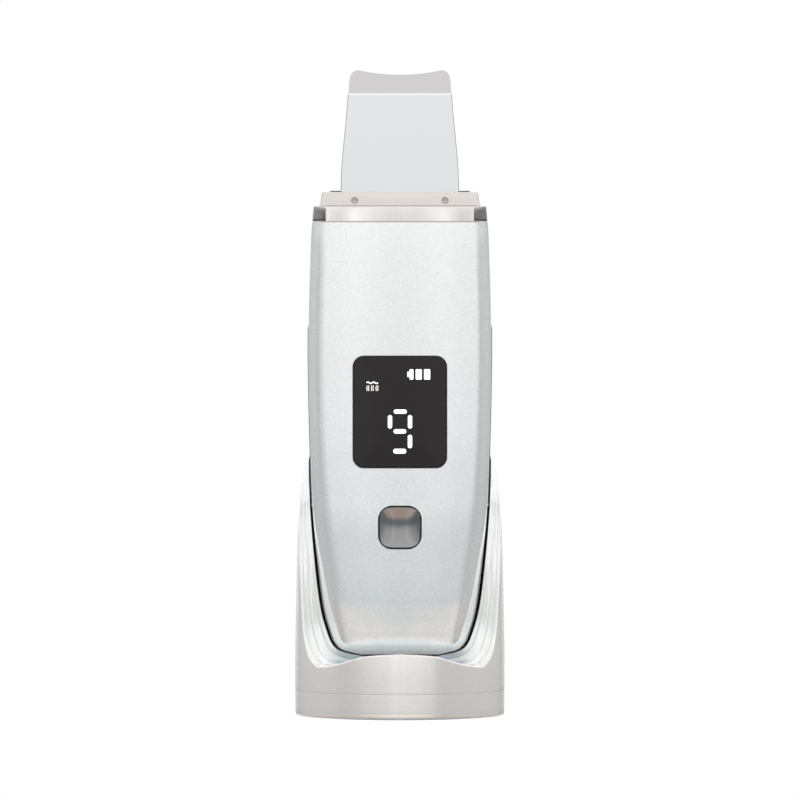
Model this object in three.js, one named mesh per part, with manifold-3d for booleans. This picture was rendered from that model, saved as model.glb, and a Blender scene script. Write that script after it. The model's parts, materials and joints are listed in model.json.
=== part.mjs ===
// Skin scrubber: an ultrasonic spatula handset standing in its charging dock.
// Millimetres, +Z up, the display side faces -Y, the origin is the centre of the dock's footprint.
import * as THREE from 'three';
import { mergeVertices } from 'three/addons/utils/BufferGeometryUtils.js';
import Module from 'manifold-3d';

const wasm = await Module();
wasm.setup();

// ---------------------------------------------------------------- driving dimensions
const HANDSET_BASE_Z = 15.2;
const SHELL_TOP_Z = 123.5;
const RING_TOP_Z = 127.5;
const COLLAR_TOP_Z = 131;
const BLADE_BEND_Z = 155.5;
const OVERALL_HEIGHT = 161.5;
const SHELL_WALL = 1.8;

// Handset outline: height, half width, half depth, width of the turned shoulder.
const HANDSET_OUTLINE = [
  [15.2, 10.5, 6.2, 3.2],
  [15.9, 13.0, 7.3, 3.4],
  [17.2, 15.5, 8.75, 4.2],
  [19.0, 16.85, 9.2, 5.2],
  [21.5, 17.75, 9.45, 6.0],
  [25.0, 18.8, 9.75, 6.5],
  [30.0, 19.7, 10.1, 6.6],
  [38.0, 20.6, 10.3, 6.2],
  [52.5, 21.8, 10.5, 4.9],
  [66.0, 22.3, 10.5, 4.4],
  [80.0, 22.65, 10.4, 4.3],
  [92.0, 22.8, 10.25, 4.3],
  [104.0, 22.68, 9.95, 4.3],
  [114.0, 22.38, 9.5, 4.2],
  [119.0, 22.22, 9.15, 4.1],
  [123.5, 21.95, 8.7, 4.0],
];
const CROWN = 0.5;

const LENS = { width: 23.5, height: 28, corner: 2.8, z: 76.25, back: -9.2 };
const BUTTON = { size: 10.5, corner: 3.3, z: 47.5, face: -10.75, travel: 0.5 };
const ELECTRODE = { bottom: 52.5, top: 97.75, halfDepth: 2.8, proud: 0.25, seat: 0.8 };
const CONTACT = { x: 5, y: 3.2, radius: 1.6 };

const DOCK_SEAM_Z = 6.4;
const DOCK_FLOOR_Z = 14.6;
const POCKET_CLEARANCE = 0.65;
const DOCK_CAVITY_TOP = 11.2;

// Dock wall: height, half width, half depth in front, half depth behind, squareness behind (2 is elliptic).
const DOCK_WALL = [
  [0.25, 25.6, 22.35, 22.35, 2.0],
  [0.45, 25.95, 22.7, 22.7, 2.0],
  [1.0, 26.2, 22.95, 22.95, 2.0],
  [11.0, 26.25, 23.0, 23.0, 2.0],
  [19.0, 26.15, 22.9, 22.7, 2.05],
  [29.0, 25.95, 22.8, 21.7, 2.25],
  [39.0, 25.75, 22.7, 20.3, 2.5],
  [46.0, 25.5, 22.6, 19.2, 2.7],
  [52.0, 25.2, 22.4, 18.3, 2.85],
  [60.0, 24.85, 22.3, 17.1, 2.9],
  [65.0, 24.65, 22.3, 16.4, 3.0],
  [72.0, 24.3, 22.2, 15.4, 3.1],
];

// Dock rim and pocket edge, from the front centre round one side to the back centre:
// rim bearing in degrees, rim height, place round the handset section (-1 front, 0 side, 1 back), edge height.
const DOCK_RIM = [
  [-90.0, 16.55, -1.0, 15.05],
  [-72.0, 16.0, -0.853, 15.05],
  [-56.0, 14.15, -0.71, 15.1],
  [-45.6, 13.3, -0.56, 15.65],
  [-39.3, 13.1, -0.36, 16.6],
  [-33.0, 14.4, -0.31, 18.9],
  [-28.0, 16.6, -0.305, 21.5],
  [-23.6, 20.3, -0.3, 25.0],
  [-19.8, 26.9, -0.295, 31.0],
  [-15.5, 35.0, -0.28, 38.0],
  [-8.5, 46.0, -0.13, 47.5],
  [0.0, 53.0, 0.03, 54.0],
  [8.1, 57.9, 0.1, 58.2],
  [17.5, 61.7, 0.185, 61.5],
  [25.5, 64.8, 0.32, 64.2],
  [38.0, 67.6, 0.5, 66.6],
  [58.0, 69.8, 0.74, 68.6],
  [90.0, 71.0, 1.0, 69.6],
];

// ---------------------------------------------------------------- shared helpers
const group = new THREE.Group();
group.name = 'skin_scrubber';

const COLOURS = {
  pearl: '#e4e7e8', chrome: '#c9ccd0', ivory: '#e6ddd6', steel: '#dcdde2', black: '#171717', rubber: '#26282a',
  board: '#1f5b3d', copper: '#b4713c', gold: '#d2a94d', cell: '#3b6ea5', ceramic: '#ddd6c4', grey: '#8b9096',
};

/** Shape-preserving cubic through table rows [position, value...]; ends are clamped. */
function along(table, at) {
  const last = table.length - 1;
  const s = THREE.MathUtils.clamp(at, table[0][0], table[last][0]);
  let i = 0;
  while (i < last - 1 && s > table[i + 1][0]) i += 1;
  const h = table[i + 1][0] - table[i][0];
  const u = (s - table[i][0]) / h;
  return table[i].slice(1).map((from, k) => {
    const col = k + 1;
    const rise = (j) => (table[j + 1][col] - table[j][col]) / (table[j + 1][0] - table[j][0]);
    const slope = (j) => {
      if (j === 0) return rise(0);
      if (j === last) return rise(last - 1);
      const a = rise(j - 1);
      const b = rise(j);
      return a * b <= 0 ? 0 : (2 * a * b) / (a + b);
    };
    const to = table[i + 1][col];
    const u2 = u * u;
    const u3 = u2 * u;
    return (2 * u3 - 3 * u2 + 1) * from + (u3 - 2 * u2 + u) * h * slope(i)
      + (3 * u2 - 2 * u3) * to + (u3 - u2) * h * slope(i + 1);
  });
}

/** Point on a section with crowned faces, round shoulders and flat flanks; place runs -1 front, 0 side, 1 back. */
function sectionPoint(width, depth, shoulder, place, crown = CROWN) {
  const side = place < 0 ? -1 : 1;
  const q = 1 - Math.abs(place);
  const lean = Math.atan((2 * crown) / (width - shoulder));
  const edge = width - shoulder * (1 - Math.sin(lean));
  if (q <= 0.25) {
    const r = q / 0.25;
    return [edge * r, side * (depth - crown * r * r)];
  }
  const turn = q >= 0.75 ? Math.PI / 2 : lean + ((q - 0.25) / 0.5) * (Math.PI / 2 - lean);
  const x = edge + shoulder * (Math.sin(turn) - Math.sin(lean));
  const y = depth - crown - shoulder * (Math.cos(lean) - Math.cos(turn));
  return [x, side * y * Math.min((1 - q) / 0.25, 1)];
}

/** Full ring of points from a right-hand half given as place -> [x, y, z]. */
function mirroredRing(steps, pointAt) {
  const right = [];
  for (let i = 0; i <= steps; i += 1) right.push(pointAt((2 * i) / steps - 1));
  const left = right.slice(1, -1).reverse().map(([x, y, z]) => [-x, y, z]);
  return [...right, ...left];
}

/** Closed solid skinned through equal rings; rings run counter-clockwise seen from the far end. */
function skin(rings, start = null, end = null) {
  const count = rings[0].length;
  const middle = (ring) => [0, 1, 2].map((k) => ring.reduce((sum, p) => sum + p[k], 0) / count);
  const points = [...rings.flat(), start ?? middle(rings[0]), end ?? middle(rings[rings.length - 1])];
  const first = rings.length * count;
  const top = (rings.length - 1) * count;
  const index = [];
  for (let j = 0; j < rings.length - 1; j += 1) {
    for (let i = 0; i < count; i += 1) {
      const a = j * count + i;
      const b = j * count + ((i + 1) % count);
      index.push(a, b, b + count, a, b + count, a + count);
    }
  }
  for (let i = 0; i < count; i += 1) {
    const n = (i + 1) % count;
    index.push(first, n, i);
    index.push(first + 1, top + i, top + n);
  }
  const geometry = new THREE.BufferGeometry();
  geometry.setAttribute('position', new THREE.Float32BufferAttribute(points.flat(), 3));
  geometry.setIndex(index);
  return geometry;
}

/** Thin sheet skinned through rings whose first half is the front face and second half the back, reversed. */
function sheet(rings) {
  const count = rings[0].length;
  const half = count / 2;
  const index = [];
  for (let j = 0; j < rings.length - 1; j += 1) {
    for (let i = 0; i < count; i += 1) {
      const a = j * count + i;
      const b = j * count + ((i + 1) % count);
      index.push(a, b, b + count, a, b + count, a + count);
    }
  }
  const top = (rings.length - 1) * count;
  for (let i = 0; i < half - 1; i += 1) {
    const back = count - 1 - i;
    index.push(i, back, i + 1, i + 1, back, back - 1);
    index.push(top + i, top + i + 1, top + back, top + i + 1, top + back - 1, top + back);
  }
  const geometry = new THREE.BufferGeometry();
  geometry.setAttribute('position', new THREE.Float32BufferAttribute(rings.flat(2), 3));
  geometry.setIndex(index);
  return geometry;
}

function toManifold(geometry) {
  const bare = geometry.clone();
  bare.deleteAttribute('normal');
  bare.deleteAttribute('uv');
  const welded = mergeVertices(bare, 1e-4);
  return new wasm.Manifold(new wasm.Mesh({
    numProp: 3,
    vertProperties: new Float32Array(welded.attributes.position.array),
    triVerts: new Uint32Array(welded.index.array),
  }));
}

function fromManifold(solid) {
  const mesh = solid.getMesh();
  const geometry = new THREE.BufferGeometry();
  geometry.setAttribute('position', new THREE.BufferAttribute(new Float32Array(mesh.vertProperties), 3));
  geometry.setIndex(new THREE.BufferAttribute(new Uint32Array(mesh.triVerts), 1));
  return geometry;
}

function cut(base, ...tools) {
  return fromManifold(tools.reduce((solid, tool) => solid.subtract(toManifold(tool)), toManifold(base)));
}

function join(...parts) {
  return fromManifold(parts.slice(1).reduce((solid, part) => solid.add(toManifold(part)), toManifold(parts[0])));
}

function common(a, b) {
  return fromManifold(toManifold(a).intersect(toManifold(b)));
}

/** The largest closed body of a solid, without stray slivers. */
function largest(geometry) {
  const bodies = toManifold(geometry).decompose();
  return fromManifold(bodies.reduce((best, solid) => (solid.volume() > best.volume() ? solid : best)));
}

/** Box from its extents. */
function block(x0, x1, y0, y1, z0, z1) {
  const geometry = new THREE.BoxGeometry(x1 - x0, y1 - y0, z1 - z0);
  return geometry.translate((x0 + x1) / 2, (y0 + y1) / 2, (z0 + z1) / 2);
}

/** Upright cylinder between two heights. */
function post(x, y, radius, z0, z1, sides = 16) {
  const geometry = new THREE.CylinderGeometry(radius, radius, z1 - z0, sides);
  return geometry.rotateX(Math.PI / 2).translate(x, y, (z0 + z1) / 2);
}

/** Cylinder lying along Y between two depths. */
function rod(x, z, radius, y0, y1, sides = 16) {
  return new THREE.CylinderGeometry(radius, radius, y1 - y0, sides).translate(x, (y0 + y1) / 2, z);
}

/** Rounded rectangle centred on the origin of its plane. */
function roundedShape(width, height, corner) {
  const x = width / 2;
  const y = height / 2;
  const shape = new THREE.Shape();
  shape.moveTo(-x + corner, -y);
  shape.lineTo(x - corner, -y);
  shape.absarc(x - corner, -y + corner, corner, -Math.PI / 2, 0, false);
  shape.lineTo(x, y - corner);
  shape.absarc(x - corner, y - corner, corner, 0, Math.PI / 2, false);
  shape.lineTo(-x + corner, y);
  shape.absarc(-x + corner, y - corner, corner, Math.PI / 2, Math.PI, false);
  shape.lineTo(-x, -y + corner);
  shape.absarc(-x + corner, -y + corner, corner, Math.PI, 1.5 * Math.PI, false);
  return shape;
}

/** Rounded plate facing -Y: width along X, height along Z. */
function facePlate(width, height, corner, y0, y1, x = 0, z = 0, curveSegments = 4) {
  const geometry = new THREE.ExtrudeGeometry(roundedShape(width, height, corner), {
    depth: y1 - y0, bevelEnabled: false, curveSegments,
  });
  return geometry.rotateX(Math.PI / 2).translate(x, y1, z);
}

/** Rounded plate lying flat: width along X, depth along Y. */
function flatPlate(width, depth, corner, z0, z1, x = 0, y = 0, curveSegments = 4) {
  const geometry = new THREE.ExtrudeGeometry(roundedShape(width, depth, corner), {
    depth: z1 - z0, bevelEnabled: false, curveSegments,
  });
  return geometry.translate(x, y, z0);
}

/** Solid of revolution about Z from an [radius, height] profile that starts and ends on the axis. */
function turned(profile, sides = 16) {
  return new THREE.LatheGeometry(profile.map(([r, z]) => new THREE.Vector2(r, z)), sides).rotateX(Math.PI / 2);
}

/** Round wire along a smooth path. */
function wire(path, radius) {
  const ring = new THREE.Shape();
  ring.absarc(0, 0, radius, 0, 2 * Math.PI, false);
  const curve = new THREE.CatmullRomCurve3(path.map((p) => new THREE.Vector3(...p)));
  return new THREE.ExtrudeGeometry(ring, { steps: 14, curveSegments: 3, bevelEnabled: false, extrudePath: curve });
}

function add(name, geometry, colour, metalness = 0, roughness = 0.5) {
  const clean = geometry.index ? geometry.toNonIndexed() : geometry;
  clean.computeVertexNormals();
  const material = new THREE.MeshStandardMaterial({ color: COLOURS[colour], metalness, roughness });
  const mesh = new THREE.Mesh(clean, material);
  mesh.name = name;
  group.add(mesh);
}

const SIDES = [['left', -1], ['right', 1]];

// ---------------------------------------------------------------- handset shells
const RING_STEPS = 16;

function handsetPoint(z, place, grow = 0) {
  const [width, depth, shoulder] = along(HANDSET_OUTLINE, z);
  const [x, y] = sectionPoint(width + grow, depth + grow, shoulder, place);
  return [x, y, z];
}

function handsetSolid(levels, grow = 0) {
  return skin(levels.map((z) => mirroredRing(RING_STEPS, (place) => handsetPoint(z, place, grow))));
}

const outlineLevels = HANDSET_OUTLINE.map(([z]) => z);
const body = handsetSolid(outlineLevels);
const hollowLevels = [17.3, 19, 22, 27, 38, 52.5, 66, 80, 92, 104, 114, 119, SHELL_TOP_Z + 0.5];
const hollow = handsetSolid(hollowLevels, -SHELL_WALL);
const bodyWall = cut(body, hollow);
const frontHalf = block(-40, 40, -30, 0, 0, 200);
const backHalf = block(-40, 40, 0, 30, 0, 200);

/** Side slot that seats one hand electrode, following the flank. */
function electrodeBar(side, inner, outer, halfDepth, z0, z1) {
  const levels = [z0, z0 + (z1 - z0) * 0.25, (z0 + z1) / 2, z0 + (z1 - z0) * 0.75, z1];
  return skin(levels.map((z) => {
    const flank = along(HANDSET_OUTLINE, z)[0];
    const ring = [
      [flank - inner, -halfDepth], [flank + outer - 0.25, -halfDepth], [flank + outer, -halfDepth * 0.6],
      [flank + outer, halfDepth * 0.6], [flank + outer - 0.25, halfDepth], [flank - inner, halfDepth],
    ];
    const placed = ring.map(([x, y]) => [side * x, y, z]);
    return side > 0 ? placed : placed.reverse();
  }));
}

const electrodeSlots = SIDES.map(([, side]) => (
  electrodeBar(side, ELECTRODE.seat + 0.1, 4, ELECTRODE.halfDepth + 0.1, ELECTRODE.bottom - 0.1, ELECTRODE.top + 0.1)));

const SHELL_SCREWS = [[-13.5, 30], [13.5, 30], [-14.5, 112], [14.5, 112]];
const BOARD_POSTS = [[-14, 38], [14, 38], [-14, 98], [14, 98]];

// Bosses grow from the wall, so they are trimmed to the body's outside.
const frontBosses = SHELL_SCREWS.map(([x, z]) => common(rod(x, z, 2.6, -12, 0, 14), body));
const boardPosts = BOARD_POSTS.map(([x, z]) => common(rod(x, z, 1.8, -12, -5.3, 12), body));
const backBosses = SHELL_SCREWS.map(([x, z]) => common(rod(x, z, 2.6, 0, 12, 14), body));
const studHoles = SIDES.map(([, side]) => (
  new THREE.CylinderGeometry(1.25, 1.25, 8, 12).rotateZ(Math.PI / 2).translate(side * 21, -1.6, 75)));

const frontShell = cut(
  join(common(bodyWall, frontHalf), ...frontBosses, ...boardPosts),
  facePlate(LENS.width + 0.2, LENS.height + 0.2, LENS.corner + 0.1, -14, LENS.back + 0.05, 0, LENS.z),
  facePlate(19.6, 24.2, 1.5, -14, -7, 0, LENS.z),
  facePlate(BUTTON.size + 0.5, BUTTON.size + 0.5, BUTTON.corner + 0.2, -14, -6, 0, BUTTON.z),
  ...SHELL_SCREWS.map(([x, z]) => rod(x, z, 1.15, -7.4, 1, 12)),
  ...electrodeSlots,
  ...studHoles,
);
add('front_shell', frontShell, 'pearl', 0.3, 0.35);

const contactHoles = SIDES.map(([, side]) => post(side * CONTACT.x, CONTACT.y, CONTACT.radius + 0.1, 10, 20, 16));
const backShell = cut(
  join(common(bodyWall, backHalf), ...backBosses),
  ...SHELL_SCREWS.map(([x, z]) => rod(x, z, 1.35, -1, 14, 12)),
  ...SHELL_SCREWS.map(([x, z]) => rod(x, z, 2.3, 6, 14, 14)),
  ...contactHoles,
  ...electrodeSlots,
);
add('back_shell', backShell, 'pearl', 0.3, 0.35);

SHELL_SCREWS.forEach(([x, z], i) => {
  const screw = turned([[0, -6], [1.05, -6], [1.05, 6.05], [2.1, 6.05], [2.1, 7.2], [0.9, 7.35], [0, 7.35]], 12);
  add(`shell_screw_${i + 1}`, screw.rotateX(-Math.PI / 2).translate(x, 0, z), 'grey', 1, 0.35);
});

// ---------------------------------------------------------------- trim ring, nose collar and blade
function bandRing(width, depth, shoulder, z, crown = 0.25) {
  return mirroredRing(RING_STEPS, (place) => [...sectionPoint(width, depth, shoulder, place, crown), z]);
}

const ringOuter = skin([
  bandRing(21.7, 8.45, 3.4, SHELL_TOP_Z + 0.05),
  bandRing(21.9, 8.65, 3.4, SHELL_TOP_Z + 0.25),
  bandRing(21.8, 8.55, 3.4, SHELL_TOP_Z + 2),
  bandRing(21.6, 8.4, 3.4, RING_TOP_Z - 0.25),
  bandRing(21.4, 8.2, 3.4, RING_TOP_Z),
]);
const ringInner = skin([bandRing(20.05, 6.8, 4, SHELL_TOP_Z - 1, CROWN), bandRing(20.05, 6.8, 4, RING_TOP_Z + 1, CROWN)]);
add('trim_ring', cut(ringOuter, ringInner), 'chrome', 1, 0.1);

const collarOuter = skin([
  bandRing(19.85, 6.55, 4, 119.6, CROWN),
  bandRing(19.85, 6.55, 4, RING_TOP_Z + 0.04, CROWN),
  bandRing(20.2, 7.75, 2.4, RING_TOP_Z + 0.06),
  bandRing(19.9, 7.65, 2.4, 128.1),
  bandRing(19.7, 7.5, 2.4, 129.4),
  bandRing(19.58, 7.2, 2.4, COLLAR_TOP_Z - 0.35),
  bandRing(19.35, 6.95, 2.4, COLLAR_TOP_Z),
]);
const collarHollow = skin([bandRing(18.1, 4.9, 3, 118), bandRing(18.1, 4.9, 3, 126.6)]);
const COLLAR_PINS = { x: 11.25, z: 128.9, radius: 0.8 };
const pinHoles = SIDES.map(([, side]) => rod(side * COLLAR_PINS.x, COLLAR_PINS.z, COLLAR_PINS.radius, -9, -3.2, 14));
const collar = cut(
  collarOuter,
  collarHollow,
  block(-15.3, 15.3, -0.9, 0.9, 125, 132),
  flatPlate(35.4, 4.6, 2.2, 130.1, 133),
  ...pinHoles,
);
add('nose_collar', collar, 'ivory', 0.1, 0.4);
SIDES.forEach(([hand, side]) => {
  const pin = rod(side * COLLAR_PINS.x, COLLAR_PINS.z, COLLAR_PINS.radius - 0.1, -7.3, -3.3, 14);
  add(`collar_pin_${hand}`, pin, 'grey', 1, 0.3);
});

const gasket = cut(
  join(flatPlate(35.2, 4.4, 2.1, 130.2, 131), block(-17.45, 17.45, -0.45, 0.45, 130.5, 131.3)),
  block(-15, 15, -0.5, 0.5, 129, 133),
);
add('blade_seal', gasket, 'rubber', 0, 0.8);

// Blade rows: height, half width, half thickness.
const BLADE_ROWS = [
  [104, 9.6, 0.4], [105, 10.5, 0.4], [126.2, 10.5, 0.4], [127.2, 14.85, 0.4], [131, 14.8, 0.4], [136.5, 14.62, 0.4],
  [141.5, 14.24, 0.4], [146.5, 13.74, 0.4], [151.5, 13.31, 0.4], [155, 13.02, 0.4], [155.9, 12.95, 0.4],
  [159.0, 12.75, 0.34], [160.0, 12.55, 0.28], [160.7, 12.2, 0.24], [161.2, 11.55, 0.2], [161.5, 10.6, 0.17],
];
const BLADE_COLUMNS = 10;
const TIP = { lean: Math.tan(THREE.MathUtils.degToRad(18)), dip: 1.2, peak: 10.6 };

function bladePoint(z, width, half, r) {
  const rise = Math.max(z - BLADE_BEND_Z, 0);
  const scooped = Math.max(1 - (r * width / TIP.peak) ** 2, 0);
  const dip = (rise / (OVERALL_HEIGHT - BLADE_BEND_Z)) * TIP.dip * scooped;
  return [r * width, Math.max(rise - dip, 0) * TIP.lean + half, z - dip];
}

const bladeRings = BLADE_ROWS.map(([z, width, half]) => {
  const spread = Array.from({ length: BLADE_COLUMNS + 1 }, (_, i) => (2 * i) / BLADE_COLUMNS - 1);
  const front = spread.map((r) => bladePoint(z, width, -half, r));
  const back = spread.map((r) => bladePoint(z, width, half, r)).reverse();
  return [...front, ...back];
});
add('spatula_blade', sheet(bladeRings), 'steel', 1, 0.2);

add('piezo_disc', rod(0, 113.4, 9, 0.45, 2.45, 24), 'ceramic', 0, 0.6);
add('blade_damper_front', block(-9, 9, -4.7, -0.5, 120.4, 126.2), 'rubber', 0, 0.9);
add('blade_damper_back', block(-9, 9, 0.5, 4.7, 123, 126.2), 'rubber', 0, 0.9);

// ---------------------------------------------------------------- display and power button
const lensBlank = facePlate(LENS.width, LENS.height, LENS.corner, -14, LENS.back, 0, LENS.z);
add('display_lens', common(lensBlank, body), 'black', 0, 0.08);
add('display_module', facePlate(18.8, 23.4, 1, -9.05, -5.3, 0, LENS.z, 2), 'grey', 0, 0.5);

/** Soft square of the power button at one depth. */
function buttonRing(reach, y) {
  const soft = (v) => Math.sign(v) * Math.abs(v) ** 0.5 * reach;
  return Array.from({ length: 24 }, (_, i) => {
    const turn = ((i + 0.5) / 24) * 2 * Math.PI;
    return [soft(Math.cos(turn)), y, BUTTON.z + soft(Math.sin(turn))];
  });
}

const half = BUTTON.size / 2;
const face = BUTTON.face;
const buttonCap = skin([
  buttonRing(half + 1, -7.7),
  buttonRing(half + 1, -8.4),
  buttonRing(half, -8.4),
  buttonRing(half, face + 0.3),
  buttonRing(half - 0.25, face),
  buttonRing(half - 0.6, face + 0.02),
  buttonRing(half - 1.9, face + 0.34),
  buttonRing(half - 3.4, face + 0.52),
], null, [0, face + 0.58, BUTTON.z]);
add('power_button', join(buttonCap, rod(0, BUTTON.z, 2, -7.8, -7.3, 14)), 'chrome', 1, 0.15);
add('switch_plunger', rod(0, BUTTON.z, 1.3, -7.28, -6.4, 14), 'black', 0, 0.5);
const switchCase = cut(block(-3, 3, -6.7, -5.3, BUTTON.z - 3, BUTTON.z + 3), rod(0, BUTTON.z, 1.45, -8, -5.7, 14));
add('tact_switch', switchCase, 'grey', 0.4, 0.4);

// ---------------------------------------------------------------- handset electronics
add('main_board', block(-16.5, 16.5, -5.2, -4, 35, 101), 'board', 0, 0.5);
add('controller_chip', block(-3.5, 3.5, -3.95, -2.95, 52, 59), 'black', 0, 0.5);
add('drive_transformer', block(-5, 5, -3.95, 2.6, 86.5, 95.5), 'copper', 0.3, 0.5);
add('buzzer', rod(-11, 90, 4.2, -3.95, -0.6, 18), 'black', 0, 0.4);
add('battery_cell', facePlate(28, 42, 2, -0.6, 5.6, 0, 58, 3), 'cell', 0.1, 0.4);
add('battery_pad', block(-10.5, 10.5, 5.65, 8.15, 42, 75), 'rubber', 0, 0.9);
SIDES.forEach(([hand, side]) => {
  const lead = wire([[side * 5, 2.5, 79.1], [side * 5.6, 2.2, 81.2], [side * 8, -1.2, 81.4], [side * 8, -3.9, 81.8]], 0.4);
  add(`battery_lead_${hand}`, lead, side > 0 ? 'copper' : 'black', 0, 0.6);
});
SIDES.forEach(([hand, side]) => {
  const lead = wire([[side * 4, 2.9, 107.4], [side * 4, 2.9, 104], [side * 4, 0, 101.8], [side * 4, -3.9, 99]], 0.4);
  add(`piezo_lead_${hand}`, lead, side > 0 ? 'copper' : 'black', 0, 0.6);
});

SIDES.forEach(([hand, side]) => {
  const bar = electrodeBar(side, ELECTRODE.seat, ELECTRODE.proud, ELECTRODE.halfDepth, ELECTRODE.bottom, ELECTRODE.top);
  const stud = new THREE.CylinderGeometry(1.05, 1.05, 3.6, 12).rotateZ(Math.PI / 2).translate(side * 20.3, -1.6, 75);
  add(`hand_electrode_${hand}`, join(bar, stud), 'chrome', 1, 0.2);
  const leaf = new THREE.Shape();
  const path = [[14, -3.95], [16.8, -3.95], [18.35, -2.9], [18.35, -0.4], [18.1, -0.4], [18.1, -2.75], [16.7, -3.7],
    [14, -3.7]];
  path.forEach(([x, y], i) => (i ? leaf.lineTo(x, y) : leaf.moveTo(x, y)));
  leaf.closePath();
  const spring = new THREE.ExtrudeGeometry(leaf, { depth: 2.4, bevelEnabled: false }).translate(0, 0, 73.8);
  add(`electrode_spring_${hand}`, side > 0 ? spring : mirrorX(spring), 'gold', 1, 0.3);
  const pad = turned([[0, 15.2], [1.35, 15.2], [1.6, 15.3], [1.6, 17.4], [0.7, 17.4], [0.7, 19], [0, 19]], 16);
  add(`charge_contact_${hand}`, pad.translate(side * CONTACT.x, CONTACT.y, 0), 'gold', 1, 0.25);
});

/** Mirror image across X with its faces turned back out. */
function mirrorX(geometry) {
  const flat = geometry.index ? geometry.toNonIndexed() : geometry.clone();
  flat.scale(-1, 1, 1);
  const position = flat.attributes.position;
  const index = [];
  for (let i = 0; i < position.count; i += 3) index.push(i, i + 2, i + 1);
  flat.setIndex(index);
  flat.deleteAttribute('normal');
  flat.deleteAttribute('uv');
  return flat;
}

// ---------------------------------------------------------------- dock shell
const DOCK_STEPS = 32;
const rimTable = DOCK_RIM.map((row, i) => [i / (DOCK_RIM.length - 1), ...row]);

function wallPoint(z, bearing, inset = 0) {
  const [wide, front, back, square] = along(DOCK_WALL, z);
  const angle = THREE.MathUtils.degToRad(bearing);
  const power = angle < 0 ? 1 : 2 / square;
  const x = (wide - inset) * Math.max(Math.cos(angle), 0) ** power;
  const y = angle < 0 ? (front - inset) * Math.sin(angle) : (back - inset) * Math.sin(angle) ** power;
  return [x, y, z];
}

/** Rim, inner edge and the way into the material for one place round the dock. */
function scoopFrame(place) {
  const ends = (s) => {
    const [bearing, rimZ, around, edgeZ] = along(rimTable, s);
    return {
      rim: new THREE.Vector3(...wallPoint(rimZ, bearing)),
      edge: new THREE.Vector3(...handsetPoint(edgeZ, around, POCKET_CLEARANCE - 0.35)),
      bearing,
      around,
      rimZ,
      edgeZ,
    };
  };
  const at = (place + 1) / 2;
  const here = ends(at);
  const middle = (e) => e.rim.clone().add(e.edge).multiplyScalar(0.5);
  const run = middle(ends(Math.min(at + 0.02, 1))).sub(middle(ends(Math.max(at - 0.02, 0))));
  const across = here.edge.clone().sub(here.rim);
  return { ...here, across, inward: run.cross(across).normalize().negate() };
}

function scoopPoint(frame, k) {
  const depth = 0.36 * frame.across.length() * k * (1 - k);
  return frame.rim.clone().addScaledVector(frame.across, k).addScaledVector(frame.inward, depth).toArray();
}

function dockRing(pointAt) {
  return mirroredRing(DOCK_STEPS, (place) => {
    const p = pointAt(scoopFrame(place));
    if (Math.abs(place) === 1) p[0] = 0;
    return p;
  });
}

// The blank's top runs level across the pocket mouth; the pocket is then cut with the grown handset.
const dockBlank = skin([
  ...[0, 0.3, 0.6, 0.85].map((f) => dockRing((s) => wallPoint(
    THREE.MathUtils.lerp(DOCK_SEAM_Z + 0.05, s.rimZ - 0.5, f), s.bearing))),
  dockRing((s) => wallPoint(s.rimZ - 0.5, s.bearing)),
  dockRing((s) => wallPoint(s.rimZ, s.bearing, 0.25)),
  ...[0.12, 0.35, 0.65, 1].map((k) => dockRing((s) => scoopPoint(s, k))),
  dockRing((s) => handsetPoint(s.edgeZ, s.around, -1.5)),
], [0, 0, DOCK_SEAM_Z + 0.05], [0, 0, 40]);
const pocketLevels = (floor) => [floor, ...outlineLevels.filter((z) => z < 95)];
const pocket = handsetSolid(pocketLevels(DOCK_FLOOR_Z), POCKET_CLEARANCE);
// Relief that lets the proud hand electrodes sit in and slide out of the pocket.
const electrodeRelief = (extra) => SIDES.map(([, side]) => (
  electrodeBar(side, 3, ELECTRODE.proud + extra, ELECTRODE.halfDepth + extra, ELECTRODE.bottom - 0.5, 78)));

function wallDisc(z, inset) {
  return mirroredRing(DOCK_STEPS, (place) => wallPoint(z, place * 90, inset));
}

const DOCK_SCREWS = [[-16.5, -10.5], [16.5, -10.5], [-16.5, 10.5], [16.5, 10.5]];
const USB = { width: 8.9, height: 3.2, bottom: 7.8, front: 15, back: 22.3 };
const rearHollow = skin([
  [[14, 13.4], [14, 17.6], [7, 19.6], [-7, 19.6], [-14, 17.6], [-14, 13.4]].map(([x, y]) => [x, y, 10]),
  [[12, 13.4], [12, 13.9], [6, 15], [-6, 15], [-12, 13.9], [-12, 13.4]].map(([x, y]) => [x, y, 50]),
]);
const dockShell = cut(
  dockBlank,
  pocket,
  ...electrodeRelief(0.3),
  cut(
    skin([wallDisc(5, 2.4), wallDisc(DOCK_CAVITY_TOP, 2.4)]),
    ...DOCK_SCREWS.map(([x, y]) => post(x, y, 2.7, 4, 13, 14)),
  ),
  rearHollow,
  flatPlate(17, 8, 0.6, 5, 12.7, 0, CONTACT.y, 2),
  ...SIDES.map(([, side]) => post(side * CONTACT.x, CONTACT.y, 1.5, 5, 20, 14)),
  ...DOCK_SCREWS.map(([x, y]) => post(x, y, 1.1, 5, 10.6, 12)),
  facePlate(USB.width + 0.4, USB.height + 0.3, 1.6, 14, 26, 0, USB.bottom + USB.height / 2),
);
add('dock_shell', dockShell, 'pearl', 0.3, 0.35);

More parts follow.
